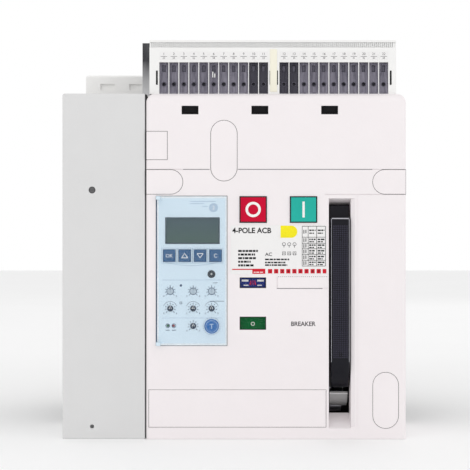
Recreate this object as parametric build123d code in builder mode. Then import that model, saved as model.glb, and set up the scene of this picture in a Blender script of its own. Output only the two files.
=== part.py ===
"""Four-pole air circuit breaker, fixed version, in millimetres.

+X runs to the right seen from the front, +Y to the rear and +Z up. The origin is under the middle of the
breaker, at the level it stands on. The contacts are modelled open and the closing springs discharged.
"""
from build123d import *
from math import cos, sin, pi, radians, hypot
import os

os.makedirs("parts", exist_ok=True)

# ---------------------------------------------------------------- driving dimensions
pole_count = 4
pole_pitch = 85.0
end_wall = 9.0             # outermost pole boundary to the side of the front mouldings
case_height = 360.0
terminal_tower = 59.0      # auxiliary terminals above the front cover

lid_height = 6.0           # clear lid, proud of the front cover
cover_depth = 115.0
front_case_depth = 76.0
rear_case_depth = 108.0
terminal_reach = 49.0      # copper behind the rear case

cover_wall = 3.0
case_wall = 8.0            # between pole chambers, and the front and back of the case
case_inset = 3.0           # the case sits this far inside the front mouldings
running = 0.08             # radial clearance of turning fits
slip = 0.4                 # gap round pieces that slide or drop in
seat = 0.05                # gap of pieces that are pressed or bolted together

# ---------------------------------------------------------------- derived frame
overall_width = pole_count * pole_pitch + 2 * end_wall
overall_depth = lid_height + cover_depth + front_case_depth + rear_case_depth + terminal_reach
side = overall_width / 2
lid_front = -overall_depth / 2
face = lid_front + lid_height              # front face of the covers
case_front = face + cover_depth
case_split = case_front + front_case_depth
case_back = case_split + rear_case_depth
terminal_end = case_back + terminal_reach
body_side = side - case_inset
pole_x = [(i - (pole_count - 1) / 2) * pole_pitch for i in range(pole_count)]
wall_x = [(i - pole_count / 2) * pole_pitch for i in range(1, pole_count)]
chamber_width = pole_pitch - case_wall
chamber_floor = 60.0
cover_left = -side + pole_pitch + 2.5      # the front cover spans all poles but the first
cover_gap = 1.0

# ---------------------------------------------------------------- linkage
open_angle = 18.0                          # contacts and main shaft, closed to open
lever_radius = 40.0
axis_z = 118.0                             # main shaft and contact pivot
shaft_y = case_front - 24
pivot_y = case_split + 20
shaft_radius = 11.0
pin_radius = 4.0
eye_radius = 8.0
link_width = 10.0
fork_width = 21.0
pivot_radius = 5.0
carrier_width = chamber_width - 17
finger_front, finger_back, finger_tip = 10.0, 18.0, 24.0
finger_foot, finger_top = -8.0, 138.0
finger_count, finger_width, finger_pitch = 5, 9.0, 12.0
pad_low, pad_high = 112.0, 132.0

# ---------------------------------------------------------------- power terminals
bar_width = chamber_width - 15
bar_thickness = 15.0
upper_z, lower_z = 262.0, 100.0
bolt_radius, bolt_spacing, bolt_inset = 5.5, 30.0, 18.0
contact_face = pivot_y + finger_tip + 0.3
pad_thickness = 3.0
block_thickness = 14.0
lower_inner = pivot_y + 44

# ---------------------------------------------------------------- front, measured from the cover's left edge
trip_x, trip_z, trip_width, trip_height = 47.3, 175.0, 73.4, 155.2
trip_depth = 58.0
button_x = (111.4, 163.8)
button_z, button_width, button_height = 238.8, 27.4, 26.6
button_travel = 4.0
window_x = 111.1
position_z, position_height = 120.5, 13.7
charge_z, charge_height = 162.6, 11.2
window_width = 27.6
well_left, well_right, well_flare = 190.1, 213.3, 4.1
well_bottom, well_top = 11.0, 250.5
well_rise, well_fall = 13.0, 6.5           # the floor rises and the ceiling falls towards the rim
rim_depth = 24.0
label_left, label_right, label_low, label_high = 88.0, 187.6, 171.6, 222.5
step_z = 280.6                             # moulded step across the front cover
strip_low, strip_high, strip_right = 12.0, 51.5, 187.5

# ---------------------------------------------------------------- charging mechanism
charge_y, charge_axis_z = face + 43, 50.0
charge_radius = 8.0
plate_left, plate_right, plate_thickness = 88.5, 169.5, 3.0
cam_x, cam_thickness = 131.5, 14.0
cam_base, cam_lift, cam_turn = 15.0, 20.0, 300.0
roller_radius = 8.0
wheel_x, wheel_width, wheel_radius, tooth_depth, tooth_count = 175.5, 6.0, 28.0, 3.0, 24
hub_radius = 12.0
handle_turn = 60.0
grip_left, grip_right = 192.1, 212.1
grip_low, grip_high, tongue_high = 52.0, 230.0, 243.0
pawl_radius, pawl_angle, pawl_lift = 42.0, 60.0, 9.0
pawl_trail, pawl_play = 36.0, 3.0           # pivot behind the tooth, and the nose's gap from it, in degrees
spring_seat_z, spring_foot_z = 172.0, 92.0
spring_x = (111.5, 151.5)
coil_radius, wire_radius, guide_radius = 10.5, 2.0, 5.0
latch_z, latch_radius = 214.0, 4.0
trip_latch_y, close_latch_y = face + 49, face + 71
latch_arm = 30.0


# ---------------------------------------------------------------- helpers
def slab(x, y, z, mode=Mode.ADD):
    """A box between a low and a high value along each axis."""
    with Locations(((x[0] + x[1]) / 2, (y[0] + y[1]) / 2, (z[0] + z[1]) / 2)):
        Box(x[1] - x[0], y[1] - y[0], z[1] - z[0], mode=mode)


def rod(x, y, z, radius, mode=Mode.ADD):
    """A cylinder along X from x[0] to x[1]."""
    with Locations(Location(((x[0] + x[1]) / 2, y, z), (0, 90, 0))):
        Cylinder(radius, x[1] - x[0], mode=mode)


def stud(x, y, z, radius, mode=Mode.ADD):
    """A cylinder along Y from y[0] to y[1]."""
    with Locations(Location((x, (y[0] + y[1]) / 2, z), (90, 0, 0))):
        Cylinder(radius, y[1] - y[0], mode=mode)


def post(x, y, z, radius, mode=Mode.ADD):
    """A cylinder along Z from z[0] to z[1]."""
    with Locations((x, y, (z[0] + z[1]) / 2)):
        Cylinder(radius, z[1] - z[0], mode=mode)


def facing(y):
    """A plane looking out of the front at y: local x is +X and local y is +Z."""
    return Plane(origin=(0, y, 0), x_dir=(1, 0, 0), z_dir=(0, -1, 0))


def across(x, y=0.0, z=0.0, turn=0.0):
    """A plane across X: local x is +Y and local y is +Z, both turned about X."""
    x_dir = (0, cos(radians(turn)), sin(radians(turn)))
    return Plane(origin=(x, y, z), x_dir=x_dir, z_dir=(1, 0, 0))


def about(y, z, turn, distance):
    """The (y, z) of a point at distance from an axis, turn degrees from +Y towards +Z."""
    return y + distance * cos(radians(turn)), z + distance * sin(radians(turn))


def front_x(offset):
    """The X of a place measured from the front cover's left edge."""
    return cover_left + offset


def keep(piece, name):
    """Labels a finished piece and writes it."""
    piece.part.label = name
    export_step(piece.part, f"parts/{name}.step")


# ---------------------------------------------------------------- case
skirt_height, skirt_side = 40.0, side - 31.0
rib_depth, rib_width = 1.5, 4.0
barrier_thickness, barrier_depth = 4.0, 12.0
case_bolt_radius, case_bolt_head, case_bolt_sink = 2.5, 4.3, 5.0
case_bolt_low, case_bolt_high = 30.0, case_height - 20
outer_bolt = body_side - 5.0
low_bolts = [*wall_x, -skirt_side + 8, skirt_side - 8]
high_bolts = [*wall_x, -outer_bolt, outer_bolt]
bolt_places = [(x, case_bolt_low) for x in low_bolts] + [(x, case_bolt_high) for x in high_bolts]
slot_gap = 0.3
bracket_front, bracket_back = case_front + 10, case_back - 10
bracket_screw_y = (bracket_front + 34, bracket_back - 34)
bracket_screw_z, bracket_screw_radius = 22.0, 3.0
rod_end = body_side - 4


def case_body(low_y, high_y):
    """A case half's outside: body, narrower skirt and moulded side ribs."""
    slab((-body_side, body_side), (low_y, high_y), (skirt_height, case_height))
    slab((-skirt_side, skirt_side), (low_y, high_y), (0, skirt_height))
    for rib in range(3):
        rib_y = low_y + (rib + 0.5) * (high_y - low_y) / 3
        for x in (-body_side - rib_depth, body_side):
            slab((x, x + rib_depth), (rib_y - rib_width / 2, rib_y + rib_width / 2), (60, case_height - 14))


def case_holes(low_y, high_y):
    """The clamping bolts' and bracket screws' holes in a case half."""
    for x, z in bolt_places:
        stud(x, (low_y, high_y), z, case_bolt_radius + 0.1, Mode.SUBTRACT)
        stud(x, (case_front, case_front + case_bolt_sink), z, case_bolt_head + 0.3, Mode.SUBTRACT)
    for y in bracket_screw_y:
        if low_y < y < high_y:
            for sign in (-1, 1):
                inner, outer = sorted((sign * (skirt_side - 14), sign * skirt_side))
                rod((inner, outer), y, bracket_screw_z, bracket_screw_radius + 0.1, Mode.SUBTRACT)


with BuildPart() as rear_case:
    case_body(case_split, case_back)
    for x in wall_x:
        slab((x - barrier_thickness / 2, x + barrier_thickness / 2),
             (case_back, case_back + barrier_depth), (chamber_floor, case_height - 30))
    for x in pole_x:
        half = chamber_width / 2
        slab((x - half, x + half), (case_split, case_back - case_wall), (chamber_floor, case_height),
             Mode.SUBTRACT)
        for z in (lower_z, upper_z):
            half = bar_width / 2 + slot_gap
            tall = bar_thickness / 2 + slot_gap
            slab((x - half, x + half), (case_back - case_wall, case_back), (z - tall, z + tall),
                 Mode.SUBTRACT)
    rod((-rod_end, rod_end), pivot_y, axis_z, pivot_radius + seat, Mode.SUBTRACT)
    case_holes(case_split, case_back - 6)
keep(rear_case, "rear_case")

link_slot = (axis_z + 27, axis_z + 52)
with BuildPart() as front_case:
    case_body(case_front, case_split)
    for x in pole_x:
        half = chamber_width / 2
        slab((x - half, x + half), (case_front + case_wall, case_split), (chamber_floor, case_height),
             Mode.SUBTRACT)
        slab((x - link_width / 2 - 3, x + link_width / 2 + 3), (case_front, case_front + case_wall),
             link_slot, Mode.SUBTRACT)
    case_holes(case_front, case_split)
keep(front_case, "front_case")

with BuildPart() as case_bolts:
    for x, z in bolt_places:
        stud(x, (case_front + 0.5, case_back - 8), z, case_bolt_radius)
        stud(x, (case_front + 0.5, case_front + case_bolt_sink), z, case_bolt_head)
        with BuildSketch(facing(case_front + 0.5)) as socket:
            with Locations((x, z)):
                RegularPolygon(2.2, 6)
        extrude(socket.sketch, amount=-3, mode=Mode.SUBTRACT)
keep(case_bolts, "case_bolts")

foot_thickness, foot_hole, foot_hole_inset = 4.0, 4.5, 12.0
foot_hole_y = (bracket_front + 16, bracket_back - 16)
with BuildPart() as mounting_brackets:
    for sign in (-1, 1):
        foot = sorted((sign * skirt_side, sign * side))
        upright = sorted((sign * skirt_side, sign * (skirt_side + foot_thickness)))
        slab(foot, (bracket_front, bracket_back), (0, foot_thickness))
        slab(upright, (bracket_front, bracket_back), (0, skirt_height - 4))
        for y in foot_hole_y:
            post(sign * (side - foot_hole_inset), y, (0, foot_thickness), foot_hole, Mode.SUBTRACT)
        for y in bracket_screw_y:
            rod(upright, y, bracket_screw_z, bracket_screw_radius + 0.3, Mode.SUBTRACT)
keep(mounting_brackets, "mounting_brackets")

with BuildPart() as bracket_screws:
    for sign in (-1, 1):
        plate = sign * (skirt_side + foot_thickness)
        for y in bracket_screw_y:
            rod(sorted((sign * (skirt_side - 13), plate)), y, bracket_screw_z, bracket_screw_radius)
            with BuildSketch(across(plate, y, bracket_screw_z)) as hexagon:
                RegularPolygon(5.8, 6)
            extrude(hexagon.sketch, amount=sign * 4.0)
keep(bracket_screws, "bracket_screws")

with BuildPart() as contact_pivot_rod:
    rod((-rod_end, rod_end), pivot_y, axis_z, pivot_radius)
keep(contact_pivot_rod, "contact_pivot_rod")

# ---------------------------------------------------------------- power circuit
bar_chamfer = 1.0


def bar_bolt_holes(x, z):
    """Two busbar bolt holes near a terminal's outer end."""
    for offset in (-bolt_spacing / 2, bolt_spacing / 2):
        post(x + offset, terminal_end - bolt_inset, (z - bar_thickness / 2, z + bar_thickness / 2),
             bolt_radius, Mode.SUBTRACT)


with BuildPart() as upper_terminals:
    for x in pole_x:
        width = (x - bar_width / 2, x + bar_width / 2)
        back = contact_face + pad_thickness
        slab(width, (back, terminal_end), (upper_z - bar_thickness / 2, upper_z + bar_thickness / 2))
        slab(width, (back, back + block_thickness), (axis_z + pad_low - 4, upper_z))
        slab((x - 29, x + 29), (contact_face, back), (axis_z + pad_low - 2, axis_z + pad_high + 2))
    chamfer(upper_terminals.edges().group_by(Axis.Y)[-1], bar_chamfer)
    for x in pole_x:
        bar_bolt_holes(x, upper_z)
keep(upper_terminals, "upper_terminals")

with BuildPart() as lower_terminals:
    for x in pole_x:
        slab((x - bar_width / 2, x + bar_width / 2), (lower_inner, terminal_end),
             (lower_z - bar_thickness / 2, lower_z + bar_thickness / 2))
    chamfer(lower_terminals.edges().group_by(Axis.Y)[-1], bar_chamfer)
    for x in pole_x:
        bar_bolt_holes(x, lower_z)
keep(lower_terminals, "lower_terminals")

knuckle = hypot(finger_back, finger_foot)      # furthest that a finger's foot reaches from the pivot
strap_low, strap_high = lower_z - 6, lower_z + 7
with BuildPart() as flexible_links:
    for x in pole_x:
        with BuildSketch(across(x)) as strap:
            with Locations(((pivot_y + 6 + lower_inner) / 2, (strap_low + strap_high) / 2)):
                Rectangle(lower_inner - pivot_y - 6, strap_high - strap_low)
            with Locations((pivot_y, axis_z)):
                Circle(knuckle + slip, mode=Mode.SUBTRACT)
        extrude(strap.sketch, amount=carrier_width / 2 - 4, both=True)
keep(flexible_links, "flexible_links")

sensor_front, sensor_depth, sensor_low, sensor_high = lower_inner + 6, 22.0, chamber_floor + 4, 136.0
with BuildPart() as current_sensors:
    for x in pole_x:
        half = chamber_width / 2 - 1.5
        slab((x - half, x + half), (sensor_front, sensor_front + sensor_depth), (sensor_low, sensor_high))
    fillet(current_sensors.edges().filter_by(Axis.Y), 6)
    for x in pole_x:
        half = bar_width / 2 + 0.5
        slab((x - half, x + half), (sensor_front, sensor_front + sensor_depth),
             (lower_z - bar_thickness / 2 - 0.5, lower_z + bar_thickness / 2 + 0.5), Mode.SUBTRACT)
keep(current_sensors, "current_sensors")

with BuildPart() as contact_carriers:
    for x in pole_x:
        with BuildSketch(across(x, pivot_y, axis_z, open_angle)) as cage:
            with BuildLine():
                Polyline((-12, -12), (finger_front - 0.3, -12), (finger_front - 0.3, 86), (-4, 86),
                         (-12, 74), close=True)
            make_face()
            Circle(pivot_radius + running, mode=Mode.SUBTRACT)
        extrude(cage.sketch, amount=carrier_width / 2, both=True)
        with BuildSketch(across(x, pivot_y, axis_z, open_angle)) as fork:
            with Locations((-1, lever_radius)):
                Rectangle(26, 26)
        extrude(fork.sketch, amount=link_width / 2 + 2, both=True, mode=Mode.SUBTRACT)
        pin_y, pin_z = about(pivot_y, axis_z, 90 + open_angle, lever_radius)
        rod((x - fork_width / 2, x + fork_width / 2), pin_y, pin_z, pin_radius)
keep(contact_carriers, "contact_carriers")

with BuildPart() as contact_fingers:
    for x in pole_x:
        for finger in range(finger_count):
            finger_x = x + (finger - (finger_count - 1) / 2) * finger_pitch
            with BuildSketch(across(finger_x, pivot_y, axis_z, open_angle)) as blade:
                with BuildLine():
                    Polyline((finger_front, finger_foot), (finger_back, finger_foot),
                             (finger_back, pad_low - 5), (finger_tip, pad_low), (finger_tip, pad_high),
                             (finger_back, finger_top), (finger_front, finger_top), close=True)
                make_face()
            extrude(blade.sketch, amount=finger_width / 2, both=True)
keep(contact_fingers, "contact_fingers")

chute_low, chute_front, chute_back = upper_z + 12, case_front + case_wall + 4, case_back - case_wall - 1
chute_wall, cap_height, cap_wall = 3.0, 34.0, 5.0
chute_half = chamber_width / 2 - 0.5
cap_half = pole_pitch / 2 - 1.5
plate_count, plate_gauge, plate_low, plate_high = 11, 2.0, chute_low + 8, case_height - 6
with BuildPart() as arc_chutes:
    for x in pole_x:
        slab((x - chute_half, x + chute_half), (chute_front, chute_back), (chute_low, case_height))
        slab((x - cap_half, x + cap_half), (chute_front - 6, chute_back + 6),
             (case_height, case_height + cap_height))
    fillet(arc_chutes.edges().group_by(Axis.Z)[-1], 3)
    for x in pole_x:
        half = chute_half - chute_wall
        slab((x - half, x + half), (chute_front + chute_wall, chute_back - chute_wall),
             (chute_low, case_height + cap_height - cap_wall), Mode.SUBTRACT)
        for vent in range(8):
            vent_y = chute_front + 16 + vent * (chute_back - chute_front - 32) / 7
            slab((x - 26, x + 26), (vent_y - 1.8, vent_y + 1.8),
                 (case_height + cap_height - cap_wall - 1, case_height + cap_height + 1), Mode.SUBTRACT)
        for offset in (-16.4, 16.4):
            slab((x + offset - 8.2, x + offset + 8.2), (chute_front - 6, chute_front - 3.5),
                 (case_height + 17, case_height + 24), Mode.SUBTRACT)
keep(arc_chutes, "arc_chutes")

with BuildPart() as splitter_plates:
    plate_half = chute_half - chute_wall
    for x in pole_x:
        for plate in range(plate_count):
            plate_y = chute_front + 12 + plate * (chute_back - chute_front - 24) / (plate_count - 1)
            with BuildSketch(facing(plate_y - plate_gauge / 2)) as outline:
                with BuildLine():
                    Polyline((x - plate_half, plate_low), (x - 12, plate_low), (x, plate_low + 30),
                             (x + 12, plate_low), (x + plate_half, plate_low), (x + plate_half, plate_high),
                             (x - plate_half, plate_high), close=True)
                make_face()
            extrude(outline.sketch, amount=-plate_gauge)
keep(splitter_plates, "splitter_plates")

# ---------------------------------------------------------------- main shaft and links
lever_pin = about(shaft_y, axis_z, 90 + open_angle, lever_radius)
bearing_inner, bearing_outer = skirt_side - 10, skirt_side + 4
with BuildPart() as main_shaft:
    rod((-bearing_outer, bearing_outer), shaft_y, axis_z, shaft_radius)
    for x in pole_x:
        with BuildSketch(across(x, shaft_y, axis_z, open_angle)) as lever:
            with BuildLine():
                Polyline((-13, 0), (13, 0), (eye_radius, lever_radius), (-eye_radius, lever_radius),
                         close=True)
            make_face()
            Circle(15)
            with Locations((0, lever_radius)):
                Circle(eye_radius)
        extrude(lever.sketch, amount=fork_width / 2, both=True)
        with BuildSketch(across(x, shaft_y, axis_z, open_angle)) as gap:
            with Locations((0, lever_radius)):
                Rectangle(3 * eye_radius, 2 * eye_radius + 4)
        extrude(gap.sketch, amount=link_width / 2 + 0.5, both=True, mode=Mode.SUBTRACT)
        rod((x - fork_width / 2, x + fork_width / 2), *lever_pin, pin_radius)
    with BuildSketch(across(front_x(cam_x) - 22, shaft_y, axis_z)) as striker:
        with BuildLine():
            Polyline((-6, 10), (-26, -12), (-18, -20), (6, -10), close=True)
        make_face()
    extrude(striker.sketch, amount=4, both=True)
keep(main_shaft, "main_shaft")

with BuildPart() as shaft_bearings:
    for sign in (-1, 1):
        block = sorted((sign * bearing_inner, sign * bearing_outer))
        slab(block, (shaft_y - 16, case_front), (axis_z - 17, axis_z + 17))
        rod(block, shaft_y, axis_z, shaft_radius + running, Mode.SUBTRACT)
keep(shaft_bearings, "shaft_bearings")

with BuildPart() as drive_links:
    for x in pole_x:
        with BuildSketch(across(x, *lever_pin)) as bar:
            with Locations(((pivot_y - shaft_y) / 2, 0)):
                SlotCenterToCenter(pivot_y - shaft_y, 12)
            with Locations((0, 0), (pivot_y - shaft_y, 0)):
                Circle(eye_radius)
            with Locations((0, 0), (pivot_y - shaft_y, 0)):
                Circle(pin_radius + running, mode=Mode.SUBTRACT)
        extrude(bar.sketch, amount=link_width / 2, both=True)
keep(drive_links, "drive_links")

# ---------------------------------------------------------------- charging mechanism
plate_front, plate_bottom, plate_top = face + 21, 24.0, 232.0
inner_left, inner_right = front_x(plate_left) + plate_thickness, front_x(plate_right)
flange_width, seat_thickness, seat_half_depth = 16.0, 3.0, 16.0


def mechanism_plate(x, towards):
    """A steel side plate with a back flange and half of the spring seat, bent towards +1 or -1 along X."""
    outer = x + (plate_thickness if towards > 0 else 0)
    with BuildSketch(across(x)) as outline:
        with BuildLine():
            Polyline((plate_front, plate_bottom), (case_front, plate_bottom), (case_front, plate_top),
                     (plate_front + 30, plate_top), (plate_front, plate_top - 40), close=True)
        make_face()
    extrude(outline.sketch, amount=plate_thickness)
    away = outer - towards * plate_thickness
    slab(sorted((away, away - towards * flange_width)), (case_front - plate_thickness, case_front),
         (plate_bottom, plate_top))
    middle = (inner_left + inner_right) / 2
    slab(sorted((outer, middle - towards * 1.0)), (charge_y - seat_half_depth, charge_y + seat_half_depth),
         (spring_seat_z, spring_seat_z + seat_thickness))
    wide = (x, x + plate_thickness)
    rod(wide, shaft_y, axis_z, shaft_radius + running, Mode.SUBTRACT)
    rod(wide, charge_y, charge_axis_z, charge_radius + running, Mode.SUBTRACT)
    for y in (trip_latch_y, close_latch_y):
        rod(wide, y, latch_z, latch_radius + running, Mode.SUBTRACT)
    for offset in spring_x:
        post(front_x(offset), charge_y, (spring_seat_z, spring_seat_z + seat_thickness), guide_radius + 0.5,
             Mode.SUBTRACT)


with BuildPart() as left_mechanism_plate:
    mechanism_plate(front_x(plate_left), 1)
keep(left_mechanism_plate, "left_mechanism_plate")

with BuildPart() as right_mechanism_plate:
    mechanism_plate(front_x(plate_right), -1)
keep(right_mechanism_plate, "right_mechanism_plate")


def cam_point(turn):
    """A point of the cam's rising flank, turn degrees behind the follower."""
    return about(0, 0, 90 - turn, cam_base + cam_lift * turn / cam_turn)


cam_steps = 30
shaft_start, shaft_end = front_x(plate_left) - 5, front_x(grip_right) - 4
with BuildPart() as charging_shaft:
    rod((shaft_start, shaft_end), charge_y, charge_axis_z, charge_radius)
    with BuildSketch(across(front_x(cam_x), charge_y, charge_axis_z)) as cam:
        with BuildLine():
            rise = Spline([cam_point(cam_turn * step / cam_steps) for step in range(cam_steps + 1)])
            drop = Line(rise @ 1, about(0, 0, 90 + 36, cam_base))
            ThreePointArc(drop @ 1, about(0, 0, 90 + 18, cam_base), rise @ 0)
        make_face()
    extrude(cam.sketch, amount=cam_thickness / 2, both=True)
keep(charging_shaft, "charging_shaft")

tooth_step = 360 / tooth_count
root_radius = wheel_radius - tooth_depth
wheel_span = (front_x(wheel_x), front_x(wheel_x) + wheel_width)
with BuildPart() as ratchet_wheel:
    with BuildSketch(across(wheel_span[0], charge_y, charge_axis_z)) as toothed:
        with BuildLine():
            corners = []
            for tooth in range(tooth_count):
                corners.append(about(0, 0, pawl_angle + tooth * tooth_step, root_radius))
                corners.append(about(0, 0, pawl_angle + tooth * tooth_step, wheel_radius))
            Polyline(*corners, close=True)
        make_face()
        Circle(charge_radius + seat, mode=Mode.SUBTRACT)
    extrude(toothed.sketch, amount=wheel_width)
keep(ratchet_wheel, "ratchet_wheel")

guide_top = spring_seat_z + 4
roller_z = charge_axis_z + cam_base + roller_radius + slip
cheek_gap = cam_thickness / 2 + 3
with BuildPart() as spring_crosshead:
    slab((front_x(spring_x[0]) - 14, front_x(spring_x[1]) + 14), (charge_y - 12, charge_y + 12),
         (spring_foot_z - 8, spring_foot_z))
    for sign in (-1, 1):
        cheek = sorted((front_x(cam_x) + sign * cheek_gap, front_x(cam_x) + sign * (cheek_gap + 4)))
        slab(cheek, (charge_y - 6, charge_y + 6), (roller_z - 6, spring_foot_z - 8))
    rod((front_x(cam_x) - cheek_gap, front_x(cam_x) + cheek_gap), charge_y, roller_z, 3)
    rod((front_x(cam_x) - cam_thickness / 2, front_x(cam_x) + cam_thickness / 2), charge_y, roller_z,
        roller_radius)
    for offset in spring_x:
        post(front_x(offset), charge_y, (spring_foot_z, guide_top), guide_radius)
keep(spring_crosshead, "spring_crosshead")

spring_turns = 8
spring_low, spring_high = spring_foot_z + wire_radius + 0.1, spring_seat_z - wire_radius - 0.1
with BuildPart() as closing_springs:
    for offset in spring_x:
        with BuildLine() as coil:
            Helix((spring_high - spring_low) / spring_turns, spring_high - spring_low, coil_radius,
                  center=(front_x(offset), charge_y, spring_low))
        with BuildSketch(Plane(origin=coil.line @ 0, z_dir=coil.line % 0)) as wire:
            Circle(wire_radius)
        sweep(wire.sketch, path=coil.line, is_frenet=True)
keep(closing_springs, "closing_springs")


def latch(x, y, width, paddle):
    """A half-shaft latch across the mechanism plates: an arm up to its button's stem and a paddle below."""
    rod((front_x(plate_left) - 4, front_x(plate_right) + plate_thickness + 2), y, latch_z, latch_radius)
    slab((x - width / 2, x + width / 2), (y - latch_radius, y + latch_radius),
         (latch_z, latch_z + latch_arm))
    slab((x - paddle / 2, x + paddle / 2), (y - 1.5, y + 3), (latch_z - 14, latch_z))


with BuildPart() as trip_latch:
    latch(front_x(button_x[0]), trip_latch_y, 10, 22)
keep(trip_latch, "trip_latch")

with BuildPart() as close_latch:
    latch(front_x(button_x[1]) - 1, close_latch_y, 8, 9)
keep(close_latch, "close_latch")

# ---------------------------------------------------------------- handle
lever_plate = (wheel_span[1] + 1.5, wheel_span[1] + 4.5)
hub_span = (lever_plate[0], shaft_end - 2)
arm_x = (hub_span[1] - 12, hub_span[1])
grip_front, grip_back, tongue_front = face - 1.0, face + 21.0, face + 11.0
pawl_pivot = about(charge_y, charge_axis_z, pawl_angle - pawl_trail, pawl_radius)
with BuildPart() as handle_lever:
    rod(hub_span, charge_y, charge_axis_z, hub_radius)
    with BuildSketch(across(lever_plate[0], charge_y, charge_axis_z)) as ear:
        pivot_place = (pawl_pivot[0] - charge_y, pawl_pivot[1] - charge_axis_z)
        with BuildLine():
            Polyline((-4, 10), (4, -10), (pivot_place[0] + 2, pivot_place[1] - 5),
                     (pivot_place[0] - 2, pivot_place[1] + 5), close=True)
        make_face()
        with Locations(pivot_place):
            Circle(6)
        Circle(hub_radius)
    extrude(ear.sketch, amount=lever_plate[1] - lever_plate[0])
    with BuildSketch(across(arm_x[0], charge_y, charge_axis_z)) as arm:
        reach = grip_back - charge_y
        with BuildLine():
            Polyline((reach, 4), (reach, 110), (reach + 8, 110), (hub_radius - 2, 6),
                     (0, -hub_radius + 1), close=True)
        make_face()
        with Locations((2, -20)):
            Circle(7)
        with BuildLine():
            Polyline((-9, 0), (11, 0), (9, -20), (-5, -20), close=True)
        make_face()
    extrude(arm.sketch, amount=arm_x[1] - arm_x[0])
    rod(hub_span, charge_y, charge_axis_z, charge_radius + running, Mode.SUBTRACT)
    rod((wheel_span[0], lever_plate[0]), *pawl_pivot, 3)
keep(handle_lever, "handle_lever")

with BuildPart() as handle_grip:
    with BuildSketch(across(front_x(grip_left))) as profile:
        with BuildLine():
            Polyline((grip_back, grip_low), (grip_back, tongue_high), (tongue_front, tongue_high),
                     (tongue_front, grip_high), (grip_front, grip_high), (grip_front, grip_low + 26))
            ThreePointArc((grip_front, grip_low + 26), (grip_front + 5, grip_low + 11),
                          (grip_front + 18, grip_low))
            Line((grip_front + 18, grip_low), (grip_back, grip_low))
        make_face()
    extrude(profile.sketch, amount=grip_right - grip_left)
    fillet(handle_grip.edges().filter_by(Axis.Z).group_by(Axis.Y)[0], 2.2)
    fillet(handle_grip.edges().filter_by(Axis.X).group_by(Axis.Y)[0].sort_by(Axis.Z)[-1], 1.6)
keep(handle_grip, "handle_grip")

# The pawl is drawn engaged, in its pivot's frame, and then turned out of the teeth by pawl_lift.
pawl_span = (wheel_span[0] + 0.5, wheel_span[1] - 0.5)


def from_pawl(turn, distance):
    """A point given round the wheel's axis, measured from the pawl's pivot."""
    y, z = about(charge_y, charge_axis_z, turn, distance)
    return y - pawl_pivot[0], z - pawl_pivot[1]


with BuildPart() as drive_pawl:
    with BuildSketch(across(pawl_span[0], *pawl_pivot, -pawl_lift)) as pawl:
        with BuildLine():
            Polyline(from_pawl(pawl_angle - pawl_play, root_radius + 0.9),
                     from_pawl(pawl_angle - pawl_play, wheel_radius + 3), (-1, 5.9), (1, -5.9),
                     from_pawl(pawl_angle - pawl_play - 6, wheel_radius + 0.4), close=True)
        make_face()
        Circle(6)
        Circle(3 + running, mode=Mode.SUBTRACT)
    extrude(pawl.sketch, amount=pawl_span[1] - pawl_span[0])
keep(drive_pawl, "drive_pawl")

# ---------------------------------------------------------------- front cover
cover_back = case_front - 1.0
hole_gap = 0.6
groove = 0.8


def groove_x(low, high, z):
    """A moulded line along X in the cover's face."""
    slab((low, high), (face, face + groove), (z - groove / 2, z + groove / 2), Mode.SUBTRACT)


def cut_slot(x, z, width, height, depth):
    """A round-ended upright pocket in the cover's face."""
    with BuildSketch(facing(face)) as pocket:
        with Locations((x, z)):
            SlotOverall(height, width, rotation=90)
    extrude(pocket.sketch, amount=-depth, mode=Mode.SUBTRACT)


def d_shape(y, edge, tip, low, high):
    """An outline in the plane at y that is square at edge and round at tip."""
    sign = 1 if tip > edge else -1
    shoulder = tip - sign * (high - low) / 2
    with BuildSketch(facing(y)) as outline:
        with BuildLine():
            Polyline((shoulder, high), (edge, high), (edge, low), (shoulder, low))
            ThreePointArc((shoulder, low), (tip, (low + high) / 2), (shoulder, high))
        make_face()
    return outline.sketch


blank_depth, blank_gap = 1.6, 0.5
upper_oval = (front_x(81.0), 300.1, 28.1, 63.8)     # x, z, width, height
lower_oval = (side - 21.2, 40.2, 27.4, 59.0)
d_low, d_high = 254.5, step_z
left_d, right_d = (cover_left, front_x(38.5)), (side, side - 35.0)
box_low, box_high, box_right = 290.4, 320.5, 22.3
line_x, lip_z = 219.5, 156.7
latch_windows = (front_x(45.7), front_x(118.4), front_x(191.0))
latch_z_centre, latch_width, latch_height = case_height - 17.6, 17.6, 9.0
wall_notch = shaft_radius + 3

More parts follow.
